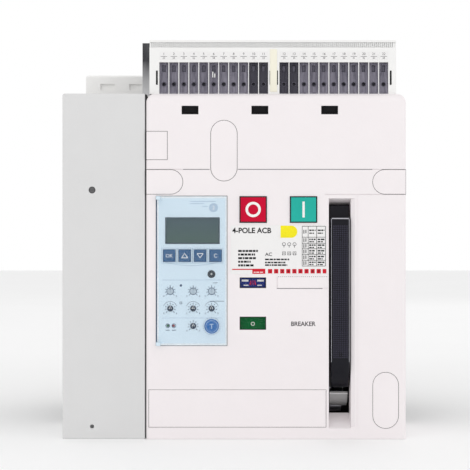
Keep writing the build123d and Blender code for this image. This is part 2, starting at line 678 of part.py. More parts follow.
with BuildPart() as front_cover:
    slab((cover_left, side), (face, cover_back), (0, case_height))
    fillet(front_cover.edges().filter_by(Axis.Z).group_by(Axis.Y)[0], 3)
    fillet(front_cover.edges().group_by(Axis.Y)[0].filter_by(Axis.X).sort_by(Axis.Z)[-1], 9)
    slab((cover_left + cover_wall, side - cover_wall), (face + cover_wall, cover_back),
         (cover_wall, case_height - cover_wall), Mode.SUBTRACT)
    # handle well: a rim, then the opening between a sloped floor and ceiling, with a flared right side
    rim = face + rim_depth
    slab((front_x(well_left) - 2, front_x(well_right) + 2), (face + cover_wall, rim),
         (cover_wall, well_top + 2))
    with BuildSketch(across(front_x(well_left))) as opening:
        with BuildLine():
            Polyline((face, well_bottom), (rim, well_bottom + well_rise), (rim, well_top - well_fall),
                     (face, well_top), close=True)
        make_face()
    extrude(opening.sketch, amount=well_right - well_left, mode=Mode.SUBTRACT)
    with BuildSketch(Plane.XY.offset(well_bottom + 2)) as flare:
        with BuildLine():
            Polyline((front_x(well_right), face), (front_x(well_right) + well_flare, face),
                     (front_x(well_right), face + cover_wall - 0.4), close=True)
        make_face()
    extrude(flare.sketch, amount=well_top - well_bottom - 2, mode=Mode.SUBTRACT)
    # trip unit opening, with a guide frame behind it
    trip_half_x, trip_half_z = trip_width / 2 + hole_gap, trip_height / 2 + hole_gap
    trip_centre = front_x(trip_x)
    slab((trip_centre - trip_half_x - 2, trip_centre + trip_half_x + 2), (face + cover_wall, face + 20),
         (trip_z - trip_half_z - 2, trip_z + trip_half_z + 2))
    slab((trip_centre - trip_half_x, trip_centre + trip_half_x), (face, face + 20),
         (trip_z - trip_half_z, trip_z + trip_half_z), Mode.SUBTRACT)
    # push buttons, each with a guide collar
    for offset in button_x:
        wide, tall = button_width / 2 + hole_gap, button_height / 2 + hole_gap
        x = front_x(offset)
        slab((x - wide - 1.6, x + wide + 1.6), (face + cover_wall, face + 12),
             (button_z - tall - 1.6, button_z + tall + 1.6))
        slab((x - wide, x + wide), (face, face + 12), (button_z - tall, button_z + tall), Mode.SUBTRACT)
    # indicator windows
    for z, height in ((position_z, position_height), (charge_z, charge_height)):
        slab((front_x(window_x) - window_width / 2, front_x(window_x) + window_width / 2),
             (face, face + cover_wall), (z - height / 2, z + height / 2), Mode.SUBTRACT)
    for x in latch_windows:
        slab((x - latch_width / 2, x + latch_width / 2), (face, face + cover_wall),
             (latch_z_centre - latch_height / 2, latch_z_centre + latch_height / 2), Mode.SUBTRACT)
    # moulded lines and the pockets of the blanking plates
    groove_x(cover_left, side, step_z)
    groove_x(front_x(well_left - 4), side, d_low)
    slab((front_x(line_x), front_x(line_x) + groove), (face, face + groove / 2), (well_bottom, d_low),
         Mode.SUBTRACT)
    cut_slot(*upper_oval, blank_depth)
    cut_slot(*lower_oval, blank_depth)
    for edge, tip in (left_d, right_d):
        extrude(d_shape(face, edge, tip, d_low, d_high), amount=-blank_depth, mode=Mode.SUBTRACT)
    slab((cover_left, front_x(box_right)), (face, face + blank_depth), (box_low, box_high), Mode.SUBTRACT)
    # pocket of the lower strip panel, and a shallow lip under the label
    slab((front_x(2.5), front_x(strip_right)), (face, face + blank_depth), (strip_low, strip_high),
         Mode.SUBTRACT)
    groove_x(front_x(136), front_x(strip_right + 1.5), lip_z)
    slab((front_x(136), front_x(136) + groove), (face, face + groove), (lip_z, label_low - 2.6),
         Mode.SUBTRACT)
    # the main shaft passes the left wall
    slab((cover_left - 1, cover_left + cover_wall + 0.5), (shaft_y - wall_notch, cover_back),
         (axis_z - wall_notch, axis_z + wall_notch), Mode.SUBTRACT)
keep(front_cover, "front_cover")

with BuildPart() as blanking_plates:
    with BuildSketch(facing(face + blank_depth)) as ovals:
        for x, z, width, height in (upper_oval, lower_oval):
            with Locations((x, z)):
                SlotOverall(height - 2 * blank_gap, width - 2 * blank_gap, rotation=90)
    extrude(ovals.sketch, amount=blank_depth - 0.1)
    for edge, tip in (left_d, right_d):
        inward = 1 if tip > edge else -1
        plate = d_shape(face + blank_depth, edge + inward * 0.4, tip - inward * blank_gap,
                        d_low + blank_gap, d_high - blank_gap)
        extrude(plate, amount=blank_depth - 0.1)
    slab((cover_left + 0.4, front_x(box_right) - blank_gap), (face + 0.1, face + blank_depth),
         (box_low + blank_gap, box_high - blank_gap))
keep(blanking_plates, "blanking_plates")

with BuildPart() as lower_panel:
    slab((front_x(2.5) + slip, front_x(strip_right) - slip), (face, face + blank_depth),
         (strip_low + slip, strip_high - slip))
    chamfer(lower_panel.faces().sort_by(Axis.Y)[0].edges(), 0.4)
keep(lower_panel, "lower_panel")

with BuildPart() as cover_latches:
    for x in latch_windows:
        slab((x - latch_width / 2 - 3, x + latch_width / 2 + 3), (face + cover_wall, face + cover_wall + 4),
             (latch_z_centre - 9, latch_z_centre + 9))
        slab((x - latch_width / 2 + 3, x + latch_width / 2 - 3), (face + 1.6, face + cover_wall),
             (latch_z_centre - 1.5, latch_z_centre + latch_height / 2 - 0.5))
keep(cover_latches, "cover_latches")

with BuildPart() as indicator_lenses:
    for z, height in ((position_z, position_height), (charge_z, charge_height)):
        slab((front_x(window_x) - window_width / 2 + 0.1, front_x(window_x) + window_width / 2 - 0.1),
             (face + 0.6, face + 2.0), (z - height / 2 + 0.1, z + height / 2 - 0.1))
keep(indicator_lenses, "indicator_lenses")

with BuildPart() as rating_label:
    slab((front_x(label_left), front_x(label_right)), (face - 0.4, face), (label_low, label_high))
keep(rating_label, "rating_label")

neutral_right = cover_left - cover_gap
neutral_set_back = 2.0
screw_x, screw_z, screw_radius = -side + 31.0, (259.2, 12.8), (3.1, 1.6)
with BuildPart() as neutral_cover:
    slab((-side, neutral_right), (face + neutral_set_back, cover_back), (0, case_height))
    fillet(neutral_cover.edges().filter_by(Axis.Z).group_by(Axis.Y)[0], 1.5)
    fillet(neutral_cover.edges().group_by(Axis.Y)[0].filter_by(Axis.X).sort_by(Axis.Z)[-1], 2.5)
    slab((-side + cover_wall, neutral_right - cover_wall),
         (face + neutral_set_back + cover_wall, cover_back), (cover_wall, case_height - cover_wall),
         Mode.SUBTRACT)
    slab((neutral_right - cover_wall - 0.5, neutral_right + 1), (shaft_y - wall_notch, cover_back),
         (axis_z - wall_notch, axis_z + wall_notch), Mode.SUBTRACT)
    for z, radius in zip(screw_z, screw_radius):
        stud(screw_x, (face + neutral_set_back, face + neutral_set_back + cover_wall), z, radius + 0.5,
             Mode.SUBTRACT)
keep(neutral_cover, "neutral_cover")

with BuildPart() as cover_screws:
    for z, radius in zip(screw_z, screw_radius):
        head = face + neutral_set_back
        stud(screw_x, (head + 0.4, head + 2.4), z, radius)
        stud(screw_x, (head + 2.4, head + 26), z, radius * 0.55)
        slab((screw_x - radius, screw_x + radius), (head + 0.4, head + 1.2), (z - 0.4, z + 0.4),
             Mode.SUBTRACT)
keep(cover_screws, "cover_screws")

# ---------------------------------------------------------------- flags and buttons
flag_front, flag_thickness, flag_half = face + cover_wall + 1, 1.6, window_width / 2 + 2
position_drop, charge_drop = 15.0, 12.5


def flag(z, drop):
    """A two-colour flag behind its window, with a tail to its drive rod."""
    x = front_x(window_x)
    slab((x - flag_half, x + flag_half), (flag_front, flag_front + flag_thickness),
         (z - drop / 2, z + drop * 1.5))
    slab((x - 4, x + 4), (flag_front + flag_thickness, flag_front + flag_thickness + 6), (z + drop / 2 - 4,
         z + drop / 2 + 4))


with BuildPart() as position_flag:
    flag(position_z, position_drop)
keep(position_flag, "position_flag")

with BuildPart() as charge_flag:
    flag(charge_z, charge_drop)
keep(charge_flag, "charge_flag")


def push_button(x, stem_end):
    """A square button cap with a skirt behind the guide collar and a stem to its latch."""
    slab((x - button_width / 2, x + button_width / 2), (face - 1.5, face + 10),
         (button_z - button_height / 2, button_z + button_height / 2))
    chamfer(BuildPart._get_context().faces().sort_by(Axis.Y)[0].edges(), 1.2)
    stud(x, (face + 10, stem_end), button_z, 4)


with BuildPart() as open_button:
    push_button(front_x(button_x[0]), trip_latch_y - latch_radius - 0.5)
keep(open_button, "open_button")

with BuildPart() as close_button:
    push_button(front_x(button_x[1]), close_latch_y - latch_radius - 0.5)
keep(close_button, "close_button")

# ---------------------------------------------------------------- trip unit
unit_left, unit_right = trip_centre - trip_width / 2, trip_centre + trip_width / 2
unit_low, unit_high = trip_z - trip_height / 2, trip_z + trip_height / 2
screen_x, screen_z, screen_width, screen_height = front_x(48.25), 216.8, 56.7, 27.8
key_z, key_size, key_depth, key_travel = 190.8, 12.8, 4.5, 0.8
key_x = [front_x(24.1 + 16.05 * key) for key in range(4)]
dial_radius, dial_depth = 3.1, 5.0
dial_places = [(front_x(x), z) for z in (153.8, 135.8) for x in (25.1, 49.0, 68.2)]
dial_places.append((front_x(49.0), 117.7))
test_place, test_radius, test_travel = (front_x(68.2), 117.4), 7.5, 2.0
port_place, port_radius = (front_x(68.0), 171.6), 2.9
lamp_places = [(front_x(22.6), 117.9), (front_x(28.6), 117.9)]
hinge_x, hinge_y, hinge_radius = unit_left + 2.2, face - 3.4, 1.1
ear_height = 3.6

with BuildPart() as trip_unit_case:
    slab((unit_left, unit_right), (face, face + trip_depth), (unit_low, unit_high))
    slab((unit_left + 2.5, unit_right - 2.5), (face + 12, face + trip_depth),
         (unit_low + 2.5, unit_high - 2.5), Mode.SUBTRACT)
    slab((screen_x - screen_width / 2, screen_x + screen_width / 2), (face, face + 3),
         (screen_z - screen_height / 2, screen_z + screen_height / 2), Mode.SUBTRACT)
    for x in key_x:
        half = key_size / 2 + 0.25
        slab((x - half, x + half), (face, face + key_depth + key_travel), (key_z - half, key_z + half),
             Mode.SUBTRACT)
    for x, z in dial_places:
        stud(x, (face, face + dial_depth), z, dial_radius + running, Mode.SUBTRACT)
    stud(test_place[0], (face, face + 8), test_place[1], test_radius + 0.1, Mode.SUBTRACT)
    stud(port_place[0], (face, face + 6), port_place[1], port_radius, Mode.SUBTRACT)
    for x, z in lamp_places:
        stud(x, (face, face + 1), z, 1.5, Mode.SUBTRACT)
    for low in (unit_low, unit_high - ear_height):
        slab((hinge_x - 2.2, hinge_x + 2.2), (hinge_y - 2.2, face), (low, low + ear_height))
        post(hinge_x, hinge_y, (low, low + ear_height), hinge_radius + 0.1, Mode.SUBTRACT)
keep(trip_unit_case, "trip_unit_case")

with BuildPart() as lcd_screen:
    slab((screen_x - screen_width / 2 + 0.1, screen_x + screen_width / 2 - 0.1), (face + 0.5, face + 3),
         (screen_z - screen_height / 2 + 0.1, screen_z + screen_height / 2 - 0.1))
keep(lcd_screen, "lcd_screen")

lid_wall, lid_back = 1.6, face - 0.3
ear_gap = 0.4
with BuildPart() as trip_unit_cover:
    slab((unit_left, unit_right), (lid_front, lid_back), (unit_low, unit_high))
    fillet(trip_unit_cover.edges().filter_by(Axis.Y), 1.5)
    slab((unit_left + lid_wall, unit_right - lid_wall), (lid_front + lid_wall, lid_back),
         (unit_low + lid_wall, unit_high - lid_wall), Mode.SUBTRACT)
    for low in (unit_low - 1, unit_high - ear_height - ear_gap):
        slab((unit_left - 1, unit_left + 8), (lid_front - 1, lid_back),
             (low, low + ear_height + ear_gap + 1), Mode.SUBTRACT)
    for low in (unit_low + ear_height + ear_gap, unit_high - ear_height - ear_gap - 4):
        slab((unit_left, hinge_x + 2.2), (lid_front, hinge_y + 2.1), (low, low + 4))
    slab((unit_left - 1, hinge_x), (hinge_y + 2.1, lid_back), (unit_low, unit_high), Mode.SUBTRACT)
    post(hinge_x, hinge_y, (unit_low, unit_low + ear_height + ear_gap + 2), hinge_radius)
    post(hinge_x, hinge_y, (unit_high - ear_height - ear_gap - 2, unit_high), hinge_radius)
    for z in (241.3, 120.5):
        slab((unit_right - 1.2, unit_right), (lid_back - 2.4, lid_back), (z - 4, z + 4), Mode.SUBTRACT)
keep(trip_unit_cover, "trip_unit_cover")

for name, x in zip(("key_ok", "key_up", "key_down", "key_clear"), key_x):
    with BuildPart() as key:
        slab((x - key_size / 2, x + key_size / 2), (face - 1.2, face - 1.2 + key_depth),
             (key_z - key_size / 2, key_z + key_size / 2))
        chamfer(key.faces().sort_by(Axis.Y)[0].edges(), 0.6)
    keep(key, name)

for number, (x, z) in enumerate(dial_places, start=1):
    with BuildPart() as dial:
        stud(x, (face - 1.0, face - 1.0 + dial_depth), z, dial_radius)
        slab((x - 0.5, x + 0.5), (face - 1.0, face - 0.1), (z - dial_radius, z + dial_radius), Mode.SUBTRACT)
    keep(dial, f"setting_dial_{number}")

with BuildPart() as test_button:
    stud(test_place[0], (face - 2.2, face + 4), test_place[1], test_radius)
    chamfer(test_button.edges().group_by(Axis.Y)[0], 0.8)
keep(test_button, "test_button")

# ---------------------------------------------------------------- auxiliary terminals
bay_modules, module_pitch, module_width = 11, 10.45, 9.65
bay_left = (front_x(12.7), front_x(138.7))
tower_left, tower_right = front_x(2.8), front_x(261.5)
tower_front, tower_back = face + 10, face + 88
tower_low, tower_high = case_height + 0.1, case_height + terminal_tower
roof = tower_high - 2
module_low, module_high = tower_low + 1.5, tower_low + 33.5
module_depth = 22.0
module_x = [left + (i + 0.5) * module_pitch for left in bay_left for i in range(bay_modules)]

with BuildPart() as terminal_housing:
    slab((tower_left, tower_right), (tower_front, tower_back), (tower_low, roof))
    fillet(terminal_housing.edges().group_by(Axis.Y)[0].filter_by(Axis.X).sort_by(Axis.Z)[-1], 3)
    slab((tower_left, tower_right), (tower_front, tower_front + 2.4), (roof - 8, roof - 2.6), Mode.SUBTRACT)
    slab((tower_left + 3, tower_right - 3), (tower_front + module_depth + 4, tower_back),
         (tower_low, roof - 4), Mode.SUBTRACT)
    for x in module_x:
        slab((x - module_width / 2, x + module_width / 2), (tower_front, tower_front + module_depth),
             (module_low, module_high), Mode.SUBTRACT)
    for left in bay_left:
        for x in (left - 2.0, left + bay_modules * module_pitch + 2.0):
            slab((x - 0.8, x + 0.8), (tower_front, tower_front + 8), (module_low + 8, module_low + 23),
                 Mode.SUBTRACT)
    slab((front_x(59), front_x(124)), (tower_front + 16, tower_front + 22), (roof, tower_high))
    slab((front_x(129), front_x(184)), (tower_front + 16, tower_front + 22), (roof, tower_high))
keep(terminal_housing, "terminal_housing")

pocket_back, module_foot, module_head = tower_front + module_depth - 0.1, module_low + 0.1, module_high - 0.1
with BuildPart() as terminal_modules:
    for x in module_x:
        half = module_width / 2 - 0.1
        with BuildSketch(across(x)) as wedge:
            with BuildLine():
                Polyline((tower_front + 1.5, module_foot), (pocket_back, module_foot),
                         (pocket_back, module_head), (tower_front + 4, module_head), close=True)
            make_face()
        extrude(wedge.sketch, amount=half, both=True)
        slab((x - 1.8, x + 1.8), (tower_front + 1, tower_front + 15), (module_high - 10, module_high - 3),
             Mode.SUBTRACT)
        stud(x, (tower_front + 1, tower_front + 14), module_low + 9, 2.4, Mode.SUBTRACT)
keep(terminal_modules, "terminal_modules")

bracket_x = (tower_left - 9.5, tower_left)
with BuildPart() as terminal_bracket:
    slab(bracket_x, (tower_front + 30, tower_front + 33), (tower_low + 2, tower_high - 1))
    slab((tower_left - 2, tower_left), (tower_front + 33, tower_back), (tower_low + 2, tower_high - 1))
    slab((tower_left - 2, tower_right), (tower_back, tower_back + 2), (tower_low, roof - 4))
    slab((tower_left - 2, tower_left), (tower_back, tower_back + 2), (tower_low + 2, tower_high - 1))
    slab((tower_left + 20, tower_right - 20), (tower_back, case_front + 4), (tower_low, tower_low + 2))
keep(terminal_bracket, "terminal_bracket")

with BuildPart() as trip_actuator:
    slab((front_x(22), front_x(60)), (case_front - 44, case_front), (198, 240))
    stud(front_x(41), (case_front - 54, case_front - 44), 219, 5)
keep(trip_actuator, "trip_actuator")

with BuildPart() as auxiliary_contacts:
    slab((front_x(196), front_x(250)), (case_front - 46, case_front), (252, 322))
    for row in range(4):
        for column in range(5):
            stud(front_x(203 + 10 * column), (case_front - 46, case_front - 43), 264 + 15 * row, 2.0,
                 Mode.SUBTRACT)
keep(auxiliary_contacts, "auxiliary_contacts")
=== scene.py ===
import math
import random

import bmesh
import bpy
from mathutils import Matrix, Vector


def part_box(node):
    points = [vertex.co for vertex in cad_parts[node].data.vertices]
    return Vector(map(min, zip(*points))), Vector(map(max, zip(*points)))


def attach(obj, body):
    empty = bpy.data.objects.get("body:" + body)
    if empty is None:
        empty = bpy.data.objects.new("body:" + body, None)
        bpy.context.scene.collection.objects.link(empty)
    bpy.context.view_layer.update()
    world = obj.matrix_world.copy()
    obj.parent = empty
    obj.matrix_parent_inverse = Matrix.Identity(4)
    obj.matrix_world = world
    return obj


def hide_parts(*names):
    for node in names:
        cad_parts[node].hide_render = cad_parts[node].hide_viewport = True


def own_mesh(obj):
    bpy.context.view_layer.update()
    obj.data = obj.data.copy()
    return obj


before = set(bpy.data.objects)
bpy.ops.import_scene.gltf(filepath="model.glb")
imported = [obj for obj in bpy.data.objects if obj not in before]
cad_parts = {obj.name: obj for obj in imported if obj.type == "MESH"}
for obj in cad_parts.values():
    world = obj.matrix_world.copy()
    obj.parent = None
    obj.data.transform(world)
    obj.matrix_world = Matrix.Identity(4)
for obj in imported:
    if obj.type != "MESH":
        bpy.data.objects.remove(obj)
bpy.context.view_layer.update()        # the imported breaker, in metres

MM = 0.001
INK = 0.07               # how far printing stands proud, in millimetres


# ---- finishes
class Value:
    """A number that varies over a surface, with ordinary arithmetic."""

    def __init__(self, finish, socket):
        self.finish = finish
        self.socket = socket

    def _maths(self, operation, first, second):
        return self.finish.node("ShaderNodeMath", {"operation": operation}, {0: first, 1: second})

    def __add__(self, other):
        return self._maths("ADD", self, other)

    def __sub__(self, other):
        return self._maths("SUBTRACT", self, other)

    def __mul__(self, other):
        return self._maths("MULTIPLY", self, other)

    def __truediv__(self, other):
        return self._maths("DIVIDE", self, other)

    def __gt__(self, other):
        return self._maths("GREATER_THAN", self, other)

    def __lt__(self, other):
        return self._maths("LESS_THAN", self, other)

    __radd__ = __add__
    __rmul__ = __mul__

    def clipped(self):
        """The same number held between 0 and 1."""
        return self.finish.node("ShaderNodeMath", {"operation": "ADD", "use_clamp": True}, {0: self, 1: 0.0})


class Finish:
    """One material, built round its main surface shader."""

    def __init__(self, name, **constants):
        self.material = bpy.data.materials.new(name)
        self.material.use_nodes = True
        self.tree = self.material.node_tree
        self.surface = self.tree.nodes["Principled BSDF"]
        for socket, value in constants.items():
            self.surface.inputs[socket.replace("_", " ")].default_value = value
        self.place = self.node("ShaderNodeTexCoord", output="Object")

    def node(self, kind, settings=None, sockets=None, output=0):
        """Adds a node: its settings first, with a ramp's stops, then its sockets' values or links."""
        made = self.tree.nodes.new(kind)
        for key, value in (settings or {}).items():
            if key == "stops":
                ramp = made.color_ramp.elements
                while len(ramp) < len(value):
                    ramp.new(0.5)
                for element, (position, colour) in zip(ramp, value):
                    element.position = position
                    element.color = colour
            else:
                setattr(made, key, value)
        for key, value in (sockets or {}).items():
            self.feed(made.inputs[key], value)
        return Value(self, made.outputs[output])

    def feed(self, socket, value):
        """Links a varying value to a socket, or sets a constant on it."""
        if isinstance(value, Value):
            self.tree.links.new(value.socket, socket)
        else:
            socket.default_value = value

    def set(self, name, value):
        self.feed(self.surface.inputs[name], value)

    def stretched(self, x, y, z):
        """Coordinates scaled along each axis."""
        return self.node("ShaderNodeVectorMath", {"operation": "MULTIPLY"}, {0: self.place, 1: (x, y, z)})

    def grain(self, scale, detail=2.0, place=None):
        """A soft random pattern with that many grains per metre."""
        return self.node("ShaderNodeTexNoise", None,
                         {"Vector": place or self.place, "Scale": scale, "Detail": detail})

    def cells(self, scale):
        """Distance to the nearest of many scattered points."""
        return self.node("ShaderNodeTexVoronoi", None, {"Vector": self.place, "Scale": scale})

    def along(self, axis):
        """The place along X, Y or Z, in metres."""
        return self.node("ShaderNodeSeparateXYZ", None, {0: self.place}, axis)

    def mix(self, amount, low, high):
        """A colour between two."""
        return self.node("ShaderNodeMix", {"data_type": "RGBA"}, {0: amount, 6: low, 7: high}, 2)

    def colour(self, amount, low, high):
        """The surface's colour, between two."""
        self.set("Base Color", self.mix(amount, low, high))

    def gloss(self, rough, pattern, spread):
        """The surface's roughness, spread about a middle value."""
        self.set("Roughness", (rough + (pattern - 0.5) * spread).clipped())

    def bumps(self, height, depth):
        """Fine relief, depth in metres, fed to the surface's normal."""
        self.set("Normal", self.node("ShaderNodeBump", None, {"Height": height, "Distance": depth}))


def shade(colour, amount):
    """A colour made lighter or darker, with full cover."""
    return tuple(min(1.0, c * amount) for c in colour[:3]) + (1.0,)


def moulded(name, colour, rough=0.45, grains=1500, depth=0.00005, mottle=0.03, fleck=0.0, sheen=0.25,
            **constants):
    """Moulded plastic: spark-eroded texture, faint flow clouds and slightly uneven gloss."""
    finish = Finish(name, Specular_IOR_Level=sheen, **constants)
    cloud = finish.grain(26, 3)
    fine = finish.grain(grains, 2)
    speck = finish.cells(grains * 0.6)
    tone = (cloud - 0.5) * 1.2 + (fine - 0.5) * 0.9 + 0.5 - (speck < 0.16) * fleck
    finish.colour(tone.clipped(), shade(colour, 1 - mottle), shade(colour, 1 + mottle))
    finish.set("Roughness", (rough + (cloud - 0.5) * 0.16 + (fine - 0.5) * 0.14).clipped())
    finish.bumps(fine + speck * 0.5, depth)
    return finish


def metal(name, colour, rough=0.35, brush=(1, 1, 30), tarnish=(0.5, 0.42, 0.35), stain=0.25):
    """Metal with brush marks along one direction, handling marks and patches of tarnish."""
    finish = Finish(name, Metallic=1.0)
    marks = finish.grain(900, 3, finish.stretched(*brush))
    patch = finish.grain(45, 4)
    spots = finish.grain(320, 3)
    cover = ((patch - 0.48) * 4 + (spots - 0.5) * 1.2).clipped() * stain
    bright = finish.mix(marks, shade(colour, 0.86), shade(colour, 1.1))
    dulled = tuple(c * t for c, t in zip(colour, tarnish)) + (1.0,)
    finish.colour(cover, bright, dulled)
    finish.set("Roughness", (rough + (marks - 0.5) * 0.3 + cover * 0.5).clipped())
    finish.bumps(marks, 0.00002)
    return finish


def printed(name, colour):
    """Screen-printed ink: slightly uneven cover and a soft sheen."""
    finish = Finish(name, Specular_IOR_Level=0.2)
    cover = finish.grain(700, 3)
    blot = finish.grain(120, 2)
    tone = ((cover - 0.5) * 1.4 + (blot - 0.5) * 0.8 + 0.5).clipped()
    finish.colour(tone, shade(colour, 0.9), shade(colour, 1.12))
    finish.gloss(0.4, cover, 0.3)
    finish.bumps(cover, 0.000012)
    return finish


def clear(name, tint, cover, rough):
    """Clear polycarbonate: mostly see-through, with polish marks in its gloss."""
    finish = Finish(name, Alpha=cover, IOR=1.45, Coat_Roughness=0.04)
    wipes = finish.grain(260, 4, finish.stretched(1, 1, 6))
    finish.colour(wipes, shade(tint, 0.94), shade(tint, 1.05))
    finish.gloss(rough, wipes, 0.12)
    finish.set("Coat Weight", (0.5 + (wipes - 0.5) * 0.4).clipped())
    finish.bumps(wipes, 0.000008)
    return finish


def two_tone(name, low_colour, high_colour, split):
    """A flag printed in one colour below a line and another above it."""
    finish = Finish(name, Specular_IOR_Level=0.08)
    cover = finish.grain(600, 3)
    above = finish.along(2) > split
    lower = finish.mix(cover, shade(low_colour, 0.88), shade(low_colour, 1.14))
    upper = finish.mix(cover, shade(high_colour, 0.88), shade(high_colour, 1.14))
    finish.colour(above, lower, upper)
    finish.gloss(0.42, cover, 0.3)
    finish.bumps(cover, 0.00001)
    return finish


def display(name, low, high):
    """A switched-off liquid crystal display: a green cast below, a faint dot grid and a polished front."""
    finish = Finish(name, Coat_Roughness=0.06, Specular_IOR_Level=0.2)
    span = high[2] - low[2]
    rise = ((finish.along(2) - low[2]) / span).clipped()
    columns = finish.node("ShaderNodeMath", {"operation": "SINE"}, {0: finish.along(0) * 9000})
    rows = finish.node("ShaderNodeMath", {"operation": "SINE"}, {0: finish.along(2) * 9000})
    dots = (columns * rows * 0.5 + 0.5).clipped()
    cast = finish.grain(34, 3)
    glass = finish.mix(rise, (0.036, 0.078, 0.048, 1.0), (0.026, 0.055, 0.066, 1.0))
    clouded = finish.mix(((cast - 0.4) * 0.5).clipped(), glass, (0.07, 0.105, 0.1, 1.0))
    finish.colour(dots * 0.2, clouded, (0.02, 0.035, 0.035, 1.0))
    finish.gloss(0.3, cast, 0.12)
    finish.set("Coat Weight", (0.15 + (cast - 0.5) * 0.1).clipped())
    finish.bumps(dots, 0.000004)
    return finish


def smoky(name, low, high, dark_spans):
    """Smoked clamp bodies: upright drawing streaks, paler towards the foot, and some poles nearly black."""
    finish = Finish(name, Specular_IOR_Level=0.25, Coat_Weight=0.15, Coat_Roughness=0.1)
    streaks = finish.grain(420, 3, finish.stretched(1, 1, 0.06))
    haze = finish.grain(60, 3)
    rise = ((finish.along(2) - low[2]) / (high[2] - low[2])).clipped()
    across = finish.along(0)
    dark = finish.node("ShaderNodeMath", {"operation": "ADD"}, {0: 0.0, 1: 0.0})
    for left, right in dark_spans:
        dark = dark + (across > left) * (across < right)
    tone = ((streaks - 0.5) * 1.6 + (haze - 0.5) * 0.6 + 0.65 - rise * 0.3).clipped()
    violet = finish.mix(tone, (0.062, 0.058, 0.085, 1.0), (0.24, 0.225, 0.275, 1.0))
    finish.colour((dark * 0.85).clipped(), violet, (0.012, 0.011, 0.022, 1.0))
    finish.gloss(0.28, streaks, 0.2)
    finish.bumps(streaks, 0.00003)
    return finish


def braid(name, colour):
    """Flexible copper strap: bundles of strands woven across each other."""
    finish = Finish(name, Metallic=1.0)
    one = finish.node("ShaderNodeTexWave", {"bands_direction": "DIAGONAL"},
                      {"Vector": finish.stretched(1, 1, 1), "Scale": 260.0, "Distortion": 1.5})
    two = finish.node("ShaderNodeTexWave", {"bands_direction": "DIAGONAL"},
                      {"Vector": finish.stretched(-1, 1, 1), "Scale": 260.0, "Distortion": 1.5})
    weave = finish.node("ShaderNodeMath", {"operation": "MAXIMUM"}, {0: one, 1: two})
    age = finish.grain(60, 3)
    strand = finish.mix(weave, shade(colour, 0.35), shade(colour, 1.1))
    finish.colour(age * 0.35, strand, shade((0.3, 0.16, 0.1), 1))
    finish.set("Roughness", (0.35 + age * 0.3).clipped())
    finish.bumps(weave, 0.0004)
    return finish


